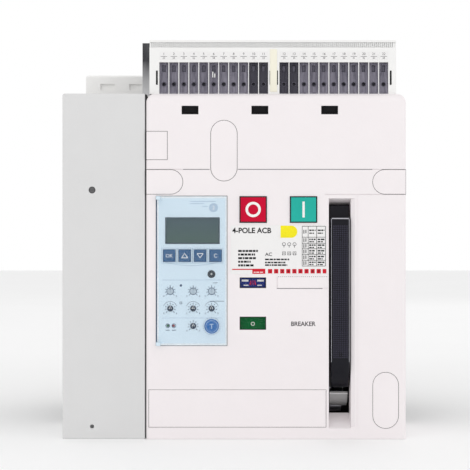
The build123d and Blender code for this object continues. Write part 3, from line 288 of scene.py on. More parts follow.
cover_white = (0.865, 0.818, 0.828)
unit_blue = (0.66, 0.79, 0.88)
finishes = {
    "case_moulding": moulded("graphite_case", (0.045, 0.047, 0.05), 0.55, 900, 0.00012, 0.16, 0.3),
    "cover_moulding": moulded("light_grey_cover", cover_white, 0.5, 1500, 0.00005, 0.018),
    "neutral_moulding": moulded("mid_grey_cover", (0.69, 0.688, 0.688), 0.48, 1300, 0.00004, 0.02),
    "chute_moulding": moulded("off_white_chute", (0.91, 0.905, 0.89), 0.6, 1000, 0.00008, 0.04, 0.15),
    "splitter_steel": metal("copper_flashed_plates", (0.46, 0.36, 0.3), 0.4),
    "zinc_steel": metal("zinc_plated_steel", (0.62, 0.62, 0.59), 0.34, (30, 1, 1), (0.8, 0.78, 0.7)),
    "bolt_steel": metal("plated_fasteners", (0.15, 0.15, 0.155), 0.36, (1, 30, 1)),
    "shaft_steel": metal("oiled_shaft_steel", (0.48, 0.48, 0.5), 0.24, (30, 1, 1), (0.7, 0.62, 0.5)),
    "wheel_steel": metal("hardened_steel", (0.3, 0.3, 0.33), 0.3, (1, 12, 12), (0.6, 0.5, 0.45), 0.4),
    "spring_steel": metal("spring_wire", (0.14, 0.14, 0.15), 0.3, (1, 1, 20)),
    "silvered_copper": metal("silver_plated_bar", (0.82, 0.79, 0.74), 0.3, (30, 1, 1), (0.62, 0.5, 0.36),
                             0.35),
    "braided_copper": braid("copper_strap", (0.72, 0.36, 0.2)),
    "finger_copper": metal("contact_fingers_copper", (0.74, 0.44, 0.28), 0.32, (1, 1, 20), (0.5, 0.4, 0.35),
                           0.4),
    "carrier_moulding": moulded("brown_carrier", (0.2, 0.075, 0.035), 0.5, 900, 0.0001, 0.14, 0.3),
    "bearing_moulding": moulded("natural_nylon", (0.66, 0.62, 0.5), 0.42, 700, 0.00005, 0.05,
                                Subsurface_Weight=0.1),
    "coil_moulding": moulded("potted_coil_blue", (0.03, 0.04, 0.1), 0.35, 800, 0.00006, 0.14),
    "actuator_moulding": moulded("relay_black", (0.025, 0.025, 0.027), 0.45, 1200, 0.00006, 0.16),
    "contact_block_moulding": moulded("grey_green_block", (0.2, 0.32, 0.25), 0.5, 1200, 0.00006, 0.06),
    "black_moulding": moulded("black_grip", (0.004, 0.004, 0.008), 0.3, 1500, 0.00004, 0.2, sheen=0.2),
    "latch_moulding": moulded("black_latch", (0.006, 0.006, 0.007), 0.5, 1400, 0.00004, 0.2, sheen=0.12),
    "panel_moulding": moulded("light_grey_panel", (0.87, 0.822, 0.832), 0.46, 1400, 0.00004, 0.018),
    "unit_moulding": moulded("pale_blue_unit", unit_blue, 0.42, 1600, 0.00003, 0.03),
    "clear_lid": clear("clear_lid_polycarbonate", (0.55, 0.68, 0.8), 0.055, 0.12),
    "clear_lens": clear("clear_window_lens", (0.1, 0.12, 0.14), 0.025, 0.1),
    "screen": display("display_glass", *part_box("lcd_screen")),
    "key_moulding": moulded("blue_key", (0.008, 0.078, 0.21), 0.4, 1500, 0.00003, 0.09),
    "test_moulding": moulded("blue_test_button", (0.0, 0.115, 0.40), 0.4, 1500, 0.00003, 0.09),
    "dial_moulding": moulded("off_white_dial", (0.48, 0.57, 0.64), 0.38, 1800, 0.00003, 0.05),
    "red_moulding": moulded("red_button", (0.56, 0.0, 0.03), 0.4, 1600, 0.00003, 0.07, sheen=0.12),
    "green_moulding": moulded("green_button", (0.02, 0.42, 0.345), 0.4, 1600, 0.00003, 0.08, sheen=0.12),
    "label_film": moulded("label_film_white", (0.84, 0.83, 0.825), 0.3, 500, 0.00001, 0.012, Coat_Weight=0.2),
    "tower_moulding": moulded("light_grey_tower", (0.86, 0.855, 0.845), 0.46, 1500, 0.00004, 0.03),
}


# ---- places, in millimetres
class Box:
    """A CAD node's sides, in millimetres."""

    def __init__(self, node):
        low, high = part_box(node)
        self.left, self.front, self.low = low / MM
        self.right, self.back, self.high = high / MM
        self.x = (self.left + self.right) / 2
        self.z = (self.low + self.high) / 2
        self.width = self.right - self.left
        self.height = self.high - self.low


cover = Box("front_cover")
unit = Box("trip_unit_case")
housing = Box("terminal_housing")
modules = Box("terminal_modules")
face = cover.front
pitch = 10.45            # of the auxiliary terminals, which stand in two bays
bay_poles = 11
bay_starts = (modules.left - 0.5, modules.right + 0.5 - bay_poles * pitch)
finishes["module_moulding"] = smoky(
    "smoky_violet_module", *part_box("terminal_modules"),
    [((bay_starts[0] + 9 * pitch) * MM, (bay_starts[0] + 11 * pitch) * MM),
     (bay_starts[1] * MM, (modules.right + 0.5 - 9 * pitch) * MM)])
bracket_foot = 0.366     # height in metres above which the bracket darkens
# the bracket is pale steel below bracket_foot and near black above it, with a streaky border between
bracket_dark = metal("bracket_steel_darker_above", (0.07, 0.07, 0.075), 0.42, (1, 1, 12), (0.8, 0.75, 0.7))
bracket_rise = ((bracket_dark.along(2) - bracket_foot) * 30).clipped()
bracket_border_streaks = bracket_dark.grain(300, 3, bracket_dark.stretched(1, 1, 0.2))
bracket_dark.set("Base Color", bracket_dark.mix((bracket_rise + (bracket_border_streaks - 0.5) * 0.3).clipped(),
                                                (0.52, 0.52, 0.53, 1.0), (0.06, 0.06, 0.065, 1.0)))
# painted shade: a near-black fill set in seams, gaps and window edges, where only shade falls
shadow_black = moulded("painted_gap_shade", (0.03, 0.03, 0.032), 0.7, 1200, 0.00005, 0.15, sheen=0.1)
position = Box("position_flag")
charge = Box("charge_flag")
charge_travel = 12.5
finishes["position_print"] = two_tone("position_flag_print", (0.002, 0.125, 0.03), (0.55, 0.03, 0.03),
                                      (position.low + 15.0) * MM)
finishes["charge_print"] = two_tone("charge_flag_print", (0.02, 0.035, 0.2), (0.75, 0.55, 0.03),
                                    (charge.low + charge_travel) * MM)
dark_dial = moulded("dark_dial", (0.012, 0.022, 0.05), 0.4, 1800, 0.00003, 0.12)

black_ink = printed("black_ink", (0.008, 0.008, 0.01))
grey_ink = printed("grey_ink", (0.075, 0.07, 0.075))
white_ink = printed("white_ink", (0.86, 0.86, 0.85))
navy_ink = printed("navy_ink", (0.03, 0.055, 0.12))
pale_ink = printed("pale_blue_ink", (0.42, 0.54, 0.67))
yellow_ink = printed("yellow_ink", (0.86, 0.76, 0.012))
red_ink = printed("red_ink", (0.60, 0.008, 0.025))


# ---- shaping
def polar(x, z, radius, turn):
    """The point at a turn, in radians, round a centre."""
    return x + radius * math.cos(turn), z + radius * math.sin(turn)


def circle(x, z, radius, count=40):
    return [polar(x, z, radius, 2 * math.pi * i / count) for i in range(count)]


def rounded(left, right, low, high, radius, count=5):
    """A rectangle with round corners."""
    points = []
    corners = ((right - radius, high - radius, 0), (left + radius, high - radius, 90),
               (left + radius, low + radius, 180), (right - radius, low + radius, 270))
    for x, z, start in corners:
        for step in range(count + 1):
            points.append(polar(x, z, radius, math.radians(start + 90 * step / count)))
    return points


class Form:
    """The mesh of one piece, drawn in millimetres: x to the right, y to the rear, z up."""

    def __init__(self):
        self.mesh = bmesh.new()

    def rims(self, sections):
        """A loop of corners for each list of points."""
        return [[self.mesh.verts.new(p) for p in section] for section in sections]

    def walls(self, rims):
        """Faces from each loop of corners to the next."""
        for one, two in zip(rims, rims[1:]):
            for i in range(len(one)):
                j = (i + 1) % len(one)
                self.mesh.faces.new((one[i], one[j], two[j], two[i]))

    def skin(self, sections):
        """Closed loops of points joined one to the next, with both ends capped."""
        rims = self.rims(sections)
        self.walls(rims)
        self.mesh.faces.new(list(reversed(rims[0])))
        self.mesh.faces.new(rims[-1])
        return self

    def plate(self, outline, front, back):
        """A flat shape facing the front, from one depth to another."""
        return self.skin([[(x, y, z) for x, z in outline] for y in (front, back)])

    def block(self, x, y, z):
        return self.plate([(x[0], z[0]), (x[1], z[0]), (x[1], z[1]), (x[0], z[1])], *y)

    def disc(self, x, z, radius, front, back, count=40):
        return self.plate(circle(x, z, radius, count), front, back)

    def ring(self, x, z, outer, inner, front, back, count=44):
        """A flat ring, closed on itself."""
        return self.rim(circle(x, z, outer, count), circle(x, z, inner, count), front, back)

    def rim(self, outer, inner, front, back):
        """A band between two outlines with as many points."""
        loops = [[(px, y, pz) for px, pz in points]
                 for points, y in ((outer, front), (outer, back), (inner, back), (inner, front))]
        rims = self.rims(loops)
        self.walls(rims + rims[:1])
        return self

    def frame(self, left, right, low, high, width, front, back):
        """Four bars round a rectangle, drawn inside its edges."""
        self.block((left, right), (front, back), (low, low + width))
        self.block((left, right), (front, back), (high - width, high))
        self.block((left, left + width), (front, back), (low + width, high - width))
        return self.block((right - width, right), (front, back), (low + width, high - width))

    def round_box(self, box, gap, width, front, back):
        """The same four bars, with their outside a gap away from a node's sides."""
        return self.frame(box.left - gap, box.right + gap, box.low - gap, box.high + gap, width, front, back)

    def stroke(self, points, width, front, back):
        """A printed line through the points, with mitred joins."""
        edges = []
        for i, (x, z) in enumerate(points):
            before, after = points[max(i - 1, 0)], points[min(i + 1, len(points) - 1)]
            run = Vector((after[0] - before[0], after[1] - before[1])).normalized() * width / 2
            edges.append(((x - run.y, z + run.x), (x + run.y, z - run.x)))
        outline = [left for left, right in edges] + [right for left, right in reversed(edges)]
        return self.plate(outline, front, back)

    def arc(self, x, z, radius, start, end, width, front, back, count=18):
        points = [polar(x, z, radius, math.radians(start + (end - start) * i / count))
                  for i in range(count + 1)]
        return self.stroke(points, width, front, back)

    def words(self, text, x, z, height, front, back, bold=0.0, span=None):
        """Raised lettering that stands on z, with capitals of that height, bolder or fitted to a width."""
        curve = bpy.data.curves.new("lettering", "FONT")
        curve.body = text
        curve.size = height / 0.7
        curve.align_x = "CENTER"
        curve.extrude = (back - front) / 2
        curve.offset = bold
        carrier = bpy.data.objects.new("lettering", curve)
        mesh = bpy.data.meshes.new_from_object(carrier)
        if span:
            low, high = min(v.co.x for v in mesh.vertices), max(v.co.x for v in mesh.vertices)
            for vert in mesh.vertices:
                vert.co.x = span[0] + (vert.co.x - low) / (high - low) * (span[1] - span[0])
            x = 0.0
        place = Matrix.Translation((x, (front + back) / 2, z))
        mesh.transform(place @ Matrix.Rotation(math.radians(90), 4, "X"))
        self.mesh.from_mesh(mesh)
        bpy.data.objects.remove(carrier)
        bpy.data.meshes.remove(mesh)
        bpy.data.curves.remove(curve)
        return self

    def softened(self, width):
        """Rounds every edge sharper than 30 degrees."""
        bmesh.ops.remove_doubles(self.mesh, verts=self.mesh.verts, dist=1e-4)
        bmesh.ops.recalc_face_normals(self.mesh, faces=self.mesh.faces)
        edges = [e for e in self.mesh.edges
                 if len(e.link_faces) == 2 and e.calc_face_angle(0) > math.radians(30)]
        bmesh.ops.bevel(self.mesh, geom=edges, offset=width, segments=2, profile=0.5,
                        affect="EDGES", clamp_overlap=True)
        return self

    def piece(self, name, body, finish, slot=None, stands_for=()):
        """Finishes the mesh as a named piece that rides on a body."""
        bmesh.ops.recalc_face_normals(self.mesh, faces=self.mesh.faces)
        self.mesh.transform(Matrix.Scale(MM, 4))
        data = bpy.data.meshes.new(name)
        self.mesh.to_mesh(data)
        self.mesh.free()
        data.shade_smooth()
        data.set_sharp_from_angle(angle=math.radians(38))
        data.materials.append(finish.material)
        made = bpy.data.objects.new(name, data)
        bpy.context.scene.collection.objects.link(made)
        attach(made, body)
        if stands_for:
            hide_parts(*stands_for)
        return made


# ---- camera
lens_height, stand_off = 212.3, 1300.0
camera = bpy.data.objects.new("camera", bpy.data.cameras.new("camera"))
camera.data.lens = 95.7
camera.data.sensor_width = 36.0
camera.location = (0.001, (face - stand_off) * MM, lens_height * MM)
camera.rotation_euler = (math.radians(90), 0, 0)
bpy.context.scene.collection.objects.link(camera)
bpy.context.scene.camera = camera

# ---- finishes of the CAD parts
dials = [f"setting_dial_{i}" for i in range(1, 8)]
parts_of = {
    "case_moulding": ["rear_case", "front_case"],
    "cover_moulding": ["front_cover"],
    "neutral_moulding": ["neutral_cover"],
    "chute_moulding": ["arc_chutes"],
    "splitter_steel": ["splitter_plates"],
    "zinc_steel": ["mounting_brackets", "drive_links", "left_mechanism_plate", "right_mechanism_plate",
                   "trip_latch", "close_latch", "terminal_bracket"],
    "bolt_steel": ["bracket_screws", "case_bolts", "cover_screws"],
    "shaft_steel": ["contact_pivot_rod", "main_shaft", "charging_shaft", "spring_crosshead"],
    "wheel_steel": ["ratchet_wheel", "handle_lever", "drive_pawl"],
    "spring_steel": ["closing_springs"],
    "silvered_copper": ["upper_terminals", "lower_terminals"],
    "braided_copper": ["flexible_links"],
    "finger_copper": ["contact_fingers"],
    "carrier_moulding": ["contact_carriers"],
    "bearing_moulding": ["shaft_bearings"],
    "coil_moulding": ["current_sensors"],
    "actuator_moulding": ["trip_actuator"],
    "contact_block_moulding": ["auxiliary_contacts"],
    "latch_moulding": ["cover_latches"],
    "panel_moulding": ["blanking_plates", "lower_panel"],
    "unit_moulding": ["trip_unit_case"],
    "clear_lid": ["trip_unit_cover"],
    "clear_lens": ["indicator_lenses"],
    "screen": ["lcd_screen"],
    "key_moulding": ["key_ok", "key_up", "key_down", "key_clear"],
    "test_moulding": ["test_button"],
    "dial_moulding": dials,
    "position_print": ["position_flag"],
    "charge_print": ["charge_flag"],
    "tower_moulding": ["terminal_housing"],
    "module_moulding": ["terminal_modules"],
    "black_moulding": ["handle_grip"],
    "red_moulding": ["open_button"],
    "green_moulding": ["close_button"],
    "label_film": ["rating_label"],
}
for slot, nodes in parts_of.items():
    for node in nodes:
        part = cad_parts[node]
        part.data.materials.clear()
        part.data.materials.append(finishes[slot].material)
for node in dials[3:]:
    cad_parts[node].data.materials[0] = dark_dial.material
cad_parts["terminal_bracket"].data.materials[0] = bracket_dark.material


# ---- rating label
label = Box("rating_label")
label_ink = (label.front - INK, label.front + 0.03)


def text_line(form, left, right, z, height, seed):
    """One line of fine print: word-long dashes too small to read."""
    rng = random.Random(seed)
    x = left
    while x < right - 0.5:
        end = min(right, x + rng.uniform(1.4, 4.2))
        form.block((x, end), label_ink, (z - height / 2, z + height / 2))
        x = end + rng.uniform(0.5, 0.8)


sheet = Form()
sheet.plate(rounded(label.left, label.right, label.low, label.high, 1.2), label.front, label.back)
sheet.piece("label_sheet", "frame", finishes["label_film"], "label_film", ["rating_label"])

print_black = Form()
second_column = label.left + 35.8
print_black.words("4-POLE ACB", 0, 214.4, 5.4, *label_ink, bold=0.2,
                  span=(label.left + 1.6, label.left + 42.2))
left_column = ((195.7, 20.5), (192.0, 17.5), (188.2, 19.0), (184.5, 13.0), (180.7, 16.0))
for row, (z, length) in enumerate(left_column):
    text_line(print_black, label.left + 7.8, label.left + 7.8 + length, z, 2.1, row)
for row, (z, length) in enumerate(((186.9, 25.4), (183.7, 21.0), (181.0, 23.0))):
    text_line(print_black, second_column, second_column + length, z, 1.6, 20 + row)
print_black.words("AC", 0, 190.6, 3.4, *label_ink, bold=0.05, span=(second_column, label.left + 43.0))
for column in range(3):
    x = label.left + 55.4 + 5.5 * column
    print_black.ring(x, 202.7, 1.9, 1.45, *label_ink, 24)
    print_black.block((x - 0.22, x + 0.22), label_ink, (199.2, 202.2))
    print_black.frame(x - 1.8, x + 1.8, 191.4, 195.0, 0.4, *label_ink)
    print_black.stroke([(x - 1.3, 192.0), (x, 194.2), (x + 1.3, 192.0)], 0.4, *label_ink)
table_columns = [label.left + o for o in (74.4, 80.6, 89.4, 98.6)]
table_rows = [221.4, 210.0, 203.7, 198.0, 192.0, 186.0, 180.0]
for x in table_columns:
    print_black.block((x - 0.25, x + 0.25), label_ink, (table_rows[-1], table_rows[0]))
for z in table_rows:
    print_black.block((table_columns[0], table_columns[-1]), label_ink, (z - 0.25, z + 0.25))
for row in range(6):
    middle = (table_rows[row] + table_rows[row + 1]) / 2
    for column in (1, 2):
        left, right = table_columns[column] + 1.1, table_columns[column + 1] - 1.1
        text_line(print_black, left, right, middle + (1.5 if row == 0 else 0.9), 1.5, 40 + 2 * row + column)
        text_line(print_black, left, right - 1.6, middle - 1.5, 1.2, 60 + 2 * row + column)
    print_black.block((table_columns[0] + 1.3, table_columns[0] + 2.2), label_ink,
                      (middle - 2.0, middle + 2.0))
    print_black.block((table_columns[0] + 3.4, table_columns[0] + 4.3), label_ink,
                      (middle - 1.6, middle + 2.1))
print_black.piece("label_black_print", "frame", black_ink, "label_film")

disc_low, disc_high, disc_left, disc_right = 209.4, 222.1, label.left + 51.9, label.left + 69.3
radius = (disc_high - disc_low) / 2
middle = (disc_low + disc_high) / 2
bulge = [polar(disc_right - radius, middle, radius, math.radians(a)) for a in range(-90, 91, 10)]
print_yellow = Form()
print_yellow.plate([(disc_left, disc_high), (disc_left, disc_low)] + bulge, *label_ink)
print_yellow.piece("label_yellow_print", "frame", yellow_ink, "label_film")

squares, square_pitch = label.left + 41.0, 6.32
print_red = Form()
print_red.block((label.left + 1.5, label.left + 22.5), label_ink, (176.0, 177.1))
print_red.block((label.left + 22.5, label.left + 36.0), label_ink, (171.9, 177.2))
for square in range(10):
    x = squares + square_pitch * square
    print_red.block((x - 2.2, min(x + 2.2, label.right - 0.1)), label_ink, (172.3, 176.9))
print_red.piece("label_red_print", "frame", red_ink, "label_film")

print_on_red = Form()
text_line(print_on_red, label.left + 24.0, label.left + 34.6, 173.6, 0.8, 90)
for dash in print_on_red.mesh.verts:
    dash.co.y -= INK / 2
print_on_red.piece("label_white_print", "frame", white_ink, "label_film")
digits = Form()
for square in range(9):
    digits.words(str(square + 1), squares + square_pitch * square, 173.4, 2.5, label_ink[0] - INK / 2,
                 label_ink[1], bold=0.08)
digits.piece("label_square_digits", "frame", black_ink, "label_film")

# ---- painted shade: dark fill in the seams round the cover's loose plates and in its grooves
SHADOW = (face + 0.5, face + 1.4)
step_z = 280.6           # moulded step across the front cover
OVALS = ((-10.5, 300.1, 28.1, 63.8), (157.8, 40.2, 27.4, 59.0))      # middle, width and height
D_PLATES = ((-91.5, -53.0, 1), (179.0, 144.0, -1))       # straight edge, round tip and way inward
plate_low = 254.5        # foot of the D plates


def d_outline(edge, tip, low, high):
    """Square at edge and round at tip."""
    sign = 1 if tip > edge else -1
    half = (high - low) / 2
    turns = [math.radians(90 - 180 * i / 24) for i in range(25)]
    curve = [(tip - sign * half + sign * half * math.cos(t), low + half + half * math.sin(t))
             for t in turns]
    return [(edge, high)] + curve + [(edge, low)]


seam_shade = Form()
for x, z, width, height in OVALS:
    outer = (x - width / 2 + 0.03, x + width / 2 - 0.03,
             z - height / 2 + 0.03, z + height / 2 - 0.03)
    inner = (outer[0] + 0.45, outer[1] - 0.45, outer[2] + 0.45, outer[3] - 0.45)
    seam_shade.rim(rounded(*outer, width / 2 - 0.04, 12), rounded(*inner, width / 2 - 0.49, 12), *SHADOW)
for edge, tip, inward in D_PLATES:
    seam_shade.rim(d_outline(edge + 0.02 * inward, tip - 0.03 * inward, plate_low + 0.03, step_z - 0.03),
              d_outline(edge + 0.36 * inward, tip - 0.48 * inward, plate_low + 0.48, step_z - 0.48), *SHADOW)
seam_shade.frame(-91.48, -69.23, 290.43, 320.47, 0.44, *SHADOW)       # the square plate
seam_shade.round_box(unit, 0.57, 0.54, face + 0.7, face + 2.5)
seam_shade.round_box(Box("lower_panel"), 0.38, 0.35, face + 0.9, face + 1.5)
seam_shade.block((-92.45, -91.55), (face + 2.2, face + 40.0), (1.0, housing.low - 1.0))
# painted shade: dark grey fill along the moulded step and the groove lines across the cover
groove_shade = Form()
fill = (face + 0.35, face + 0.78)
for left, right, z in ((-53.0, -25.5, step_z), (4.5, 144.0, step_z), (44.6, 92.0, 156.7)):
    groove_shade.block((left, right), fill, (z - 0.37, z + 0.37))
groove_shade.piece("cover_groove_painted_shade", "frame", moulded("groove_shade_grey", (0.22, 0.215, 0.23), 0.6), "cover_moulding")
seam_shade.piece("cover_seam_painted_shade", "frame", shadow_black, "cover_moulding")

# ---- word on the cover
plane, buried = face_ink = (face - INK, face + 0.05)
word = Form().words("BREAKER", 0, 117.7, 4.5, *face_ink, bold=0.14, span=(59.4, 84.9))
word.piece("cover_word", "frame", grey_ink, "cover_moulding")
dots = Form()
for i in range(26):
    x = 46.5 + 2.0 * i
    dots.block((x - 0.35, x + 0.35), face_ink, (168.6, 169.2))
dots.piece("cover_dotted_line", "frame", grey_ink, "cover_moulding")

# ---- trip unit: printed face
port_x, port_z = -23.5, 171.6
lamps = ((-69.0, 117.9), (-62.6, 117.9))
print_dark = Form()
print_dark.block((unit.left + 0.05, unit.left + 0.85), (plane - INK, buried), (unit.low, unit.high))
screen = Box("lcd_screen")
keys = [Box(name) for name in ("key_ok", "key_up", "key_down", "key_clear")]
print_dark.disc(-55.3, 159.8, 1.3, *face_ink, 20)
print_dark.block((-25.0, -10.5), face_ink, (143.2, 143.7))
print_dark.block((-22.0, -17.0), face_ink, (162.2, 162.7))
print_dark.frame(-56.6, -54.0, 140.4, 142.9, 0.5, *face_ink)
for name in dials:
    dial = Box(name)
    for tick in range(9):
        turn = math.radians(-45 + 270 * tick / 8)
        reaches = (4.3, 5.7) if tick % 4 else (4.1, 6.2)
        print_dark.stroke([polar(dial.x, dial.z, r, turn) for r in reaches], 0.55, *face_ink)
    print_dark.words("0", dial.x - 6.6, dial.z - 5.9, 1.7, *face_ink)
    print_dark.words("8", dial.x + 6.6, dial.z - 5.9, 1.7, *face_ink)
for dial in map(Box, dials[:3]):
    print_dark.ring(dial.x, dial.z, dial.width / 2 + 0.75, dial.width / 2 + 0.15, *face_ink, 36)
for dial in map(Box, dials[3:6]):
    print_dark.arc(dial.x, dial.z, 7.4, 20, 160, 0.35, *face_ink, 12)
test = Box("test_button")
for tick in range(24):
    print_dark.disc(*polar(test.x, test.z, 9.0, math.radians(15 * tick)), 0.3, *face_ink, 8)
for x, z in lamps:
    print_dark.ring(x, z, 2.3, 1.75, *face_ink, 24)
    print_dark.block((x - 2.0, x + 2.0), face_ink, (112.9, 113.6))
print_dark.piece("unit_navy_print", "frame", navy_ink, "unit_moulding")

print_pale = Form()
print_pale.disc(-21.3, 240.8, 4.7, *face_ink)
fine_lines = ((-46.0, -19.0, 247.2, 0.8), (-46.0, -31.0, 245.0, 0.7), (-33.0, -27.5, 242.0, 0.8))
for left, right, z, height in fine_lines:
    print_pale.block((left, right), face_ink, (z - height / 2, z + height / 2))
print_pale.arc(unit.x, 292.0, 111.5, 256.0, 284.0, 0.5, *face_ink, 24)
for key in keys:
    print_pale.round_box(key, 1.7, 0.5, *face_ink)
print_pale.block((-74.5, -13.0), face_ink, (165.2, 165.7))
print_pale.block((-74.5, -13.0), face_ink, (125.7, 126.2))
print_pale.piece("unit_pale_print", "frame", pale_ink, "unit_moulding")
border = Form()
border.block((unit.left, unit.left + 2.4), face_ink, (unit.low, unit.high))
border.block((unit.right - 1.5, unit.right), face_ink, (unit.low, unit.high))
for low in (unit.low, unit.high - 2.0):
    border.block((unit.left + 2.4, unit.right - 1.5), face_ink, (low, low + 2.0))
border.piece("unit_light_border", "frame", printed("border_ink", (0.80, 0.85, 0.88)), "unit_moulding")

number = Form().words("2", -21.3, 238.9, 3.8, plane - INK, plane + 0.03)
number.piece("unit_white_print", "frame", white_ink, "unit_moulding")

bezel = Form().round_box(screen, 0.1, 1.3, face - 0.35, screen.front + 0.1)
bezel_grey = moulded("bezel_dark_grey", (0.035, 0.055, 0.065), 0.5, sheen=0.12)
bezel.softened(0.15).piece("screen_bezel", "frame", bezel_grey, "unit_moulding")

socket = Form()
socket.ring(port_x, port_z, 4.1, 2.5, face - 0.5, face + 3.0)
socket.disc(port_x, port_z, 2.6, face + 2.0, face + 3.0)
socket.softened(0.2)
socket.piece("test_port_ring", "frame", finishes["actuator_moulding"], "unit_moulding")
pins = Form()
pins.disc(port_x, port_z, 1.0, face + 0.6, face + 5.5, 20)
pins.softened(0.2).piece("test_port_plug", "frame", finishes["zinc_steel"], "unit_moulding")


def lamp(name, x, z, radius, colour):
    """A small domed lens set in its hole."""
    rounds = [(max(radius * math.sin(turn), 0.02), face + 0.55 - 0.75 * radius * math.cos(turn))
              for turn in [math.radians(90 * step / 6) for step in range(7)]]
    rounds.append((radius, face + 0.98))
    form = Form().skin([[(px, y, pz) for px, pz in circle(x, z, r, 20)] for r, y in rounds])
    lens = moulded(name + "_lens", colour, 0.15, 900, 0.00001, 0.12, Coat_Weight=0.6)
    form.piece(name, "frame", lens, "unit_moulding")


lamp("status_lamp_1", -68.9, 117.9, 1.42, (0.03, 0.12, 0.05))
lamp("status_lamp_2", -62.9, 117.9, 1.42, (0.25, 0.02, 0.02))


def key_mark(name, body, draw):
    """A pale symbol printed on a key."""
    key = Box(body)
    form = Form()
    draw(form, key, key.front - INK, key.front + 0.03)
    form.piece(name, body, white_ink, "key_moulding")


def arrow(form, key, front, back, way):
    """An arrow head on a bar, pointing up or down."""
    foot, tip = key.z - 2.2 * way, key.z + 2.4 * way
    form.stroke([(key.x - 3.1, foot), (key.x, tip), (key.x + 3.1, foot)], 0.8, front, back)
    form.block((key.x - 3.2, key.x + 3.2), (front, back), sorted((key.z - 2.6 * way, key.z - 1.9 * way)))


key_mark("key_mark_ok", "key_ok", lambda form, key, front, back:
         form.words("OK", key.x, key.z - 1.8, 3.6, front, back))
key_mark("key_mark_up", "key_up", lambda form, key, front, back: arrow(form, key, front, back, 1))
key_mark("key_mark_down", "key_down", lambda form, key, front, back: arrow(form, key, front, back, -1))
key_mark("key_mark_clear", "key_clear", lambda form, key, front, back:
         form.words("C", key.x, key.z - 1.9, 3.9, front, back))

for number, name in enumerate(dials, start=1):
    dial = Box(name)
    dial_ink = (dial.front - INK, dial.front + 0.05)
    form = Form()
    form.disc(dial.x, dial.z + dial.width / 2 * 0.72, 0.42, *dial_ink, 14)
    if number > 3:
        for sign in (-1, 1):
            form.plate([(dial.x + sign * 1.5, dial.z - 0.2), (dial.x + sign * 0.62, dial.z - 0.2),
                        (dial.x + sign * 0.62, dial.z + 1.9)], *dial_ink)
    form.piece(f"dial_mark_{number}", f"dial_{number}", white_ink if number > 3 else navy_ink, "dial_moulding")

test_ink = (test.front - INK, test.front + 0.05)
form = Form()
form.words("T", test.x, test.z - 2.6, 5.2, *test_ink)
form.ring(test.x, test.z, 6.2, 5.8, *test_ink)
form.piece("test_button_mark", "test_button", pale_ink, "test_moulding")


# ---- push buttons
def dished_button(name, node, finish, slot):
    """A square cap with a shallow dish in its face, and the stem behind it."""
    cap = Box(node)
    form = Form()
    skirt_back = face + 10.0
    count, dish, shoulder = 16, 0.55, 1.3
    grid = []
    for j in range(count + 1):
        row = []
        for i in range(count + 1):
            u, v = 2 * i / count - 1, 2 * j / count - 1
            x = cap.x + u * (cap.width / 2 - shoulder)
            z = cap.z + v * (cap.height / 2 - shoulder)
            hollow = dish * (1 - u * u) * (1 - v * v)
            row.append(form.mesh.verts.new((x, cap.front + hollow, z)))
        grid.append(row)
    for j in range(count):
        for i in range(count):
            form.mesh.faces.new((grid[j][i], grid[j][i + 1], grid[j + 1][i + 1], grid[j + 1][i]))
    rim = grid[0][:-1] + [row[-1] for row in grid[:-1]] + grid[-1][:0:-1] + [row[0] for row in grid[:0:-1]]

    def grown(extra, y):
        """The rim moved out by extra, at depth y."""
        loop = []
        for vert in rim:
            x = cap.x + (vert.co.x - cap.x) * (1 + extra / (cap.width / 2 - shoulder))
            z = cap.z + (vert.co.z - cap.z) * (1 + extra / (cap.height / 2 - shoulder))
            loop.append(form.mesh.verts.new((x, y, z)))
        return loop

    loops = [rim]
    for step in range(1, 5):
        turn = math.radians(90 * step / 4)
        loops.append(grown(shoulder * math.sin(turn), cap.front + shoulder * (1 - math.cos(turn))))
    loops.append(grown(shoulder, skirt_back))
    form.walls(loops)
    form.mesh.faces.new(loops[-1])
    form.disc(cap.x, cap.z, 4.0, skirt_back - 0.5, cap.back)
    form.piece(name, node, finish, slot, [node])
    return cap


red = dished_button("open_button_cap", "open_button", finishes["red_moulding"], "red_moulding")
symbol = Form().ring(red.x, red.z, 8.0, 5.3, red.front + 0.02, red.front + 1.4, 56)
symbol.softened(0.12).piece("open_button_ring", "open_button", white_ink, "red_moulding")
green = dished_button("close_button_cap", "close_button", finishes["green_moulding"], "green_moulding")
symbol = Form().plate(rounded(green.x - 1.2, green.x + 1.2, green.z - 8.3, green.z + 8.3, 0.5),
                      green.front + 0.05, green.front + 1.4)
symbol.softened(0.12).piece("close_button_bar", "close_button", white_ink, "green_moulding")

# painted shade: a dark band round the edge of each cap
for cap, body, slot in ((red, "open_button", "red_moulding"), (green, "close_button", "green_moulding")):
    cap_edge_shade = Form().round_box(cap, -0.05, 0.8, cap.front + 0.15, cap.front + 4.0)
    cap_edge_shade.softened(0.1).piece(body + "_dark_edge", body, shadow_black, slot)
# painted shade: dark rings in the gap round each button
button_gap_shade = Form()
for cap in (red, green):
    button_gap_shade.round_box(cap, 0.58, 0.48, face + 0.05, face + 9.0)
button_gap_shade.piece("button_gap_painted_shade", "frame", finishes["latch_moulding"], "latch_moulding")

# ---- flags
window_x, window_half = 19.6, 13.75
windows = ((120.5, 13.7), (162.6, 11.2))         # middle and height
# painted shade: dark frames just inside the flag windows' edges
window_shade = Form()
for z, height in windows:
    window_shade.frame(window_x - window_half, window_x + window_half, z - height / 2 + 0.05,
                    z + height / 2 - 0.05, 0.7, face + 0.1, face + 0.55)
window_shade.piece("window_edge_painted_shade", "frame", shadow_black, "cover_moulding")
flag_x = position.x
flag_ink = (position.front - INK, position.front + 0.03)
marks = Form()
marks.ring(flag_x, position.low + 6.6, 2.0, 1.45, *flag_ink, 32)
marks.block((flag_x - 0.35, flag_x + 0.35), flag_ink, (position.low + 19.4, position.low + 23.8))
marks.piece("position_flag_print", "position_flag", white_ink, "position_print")

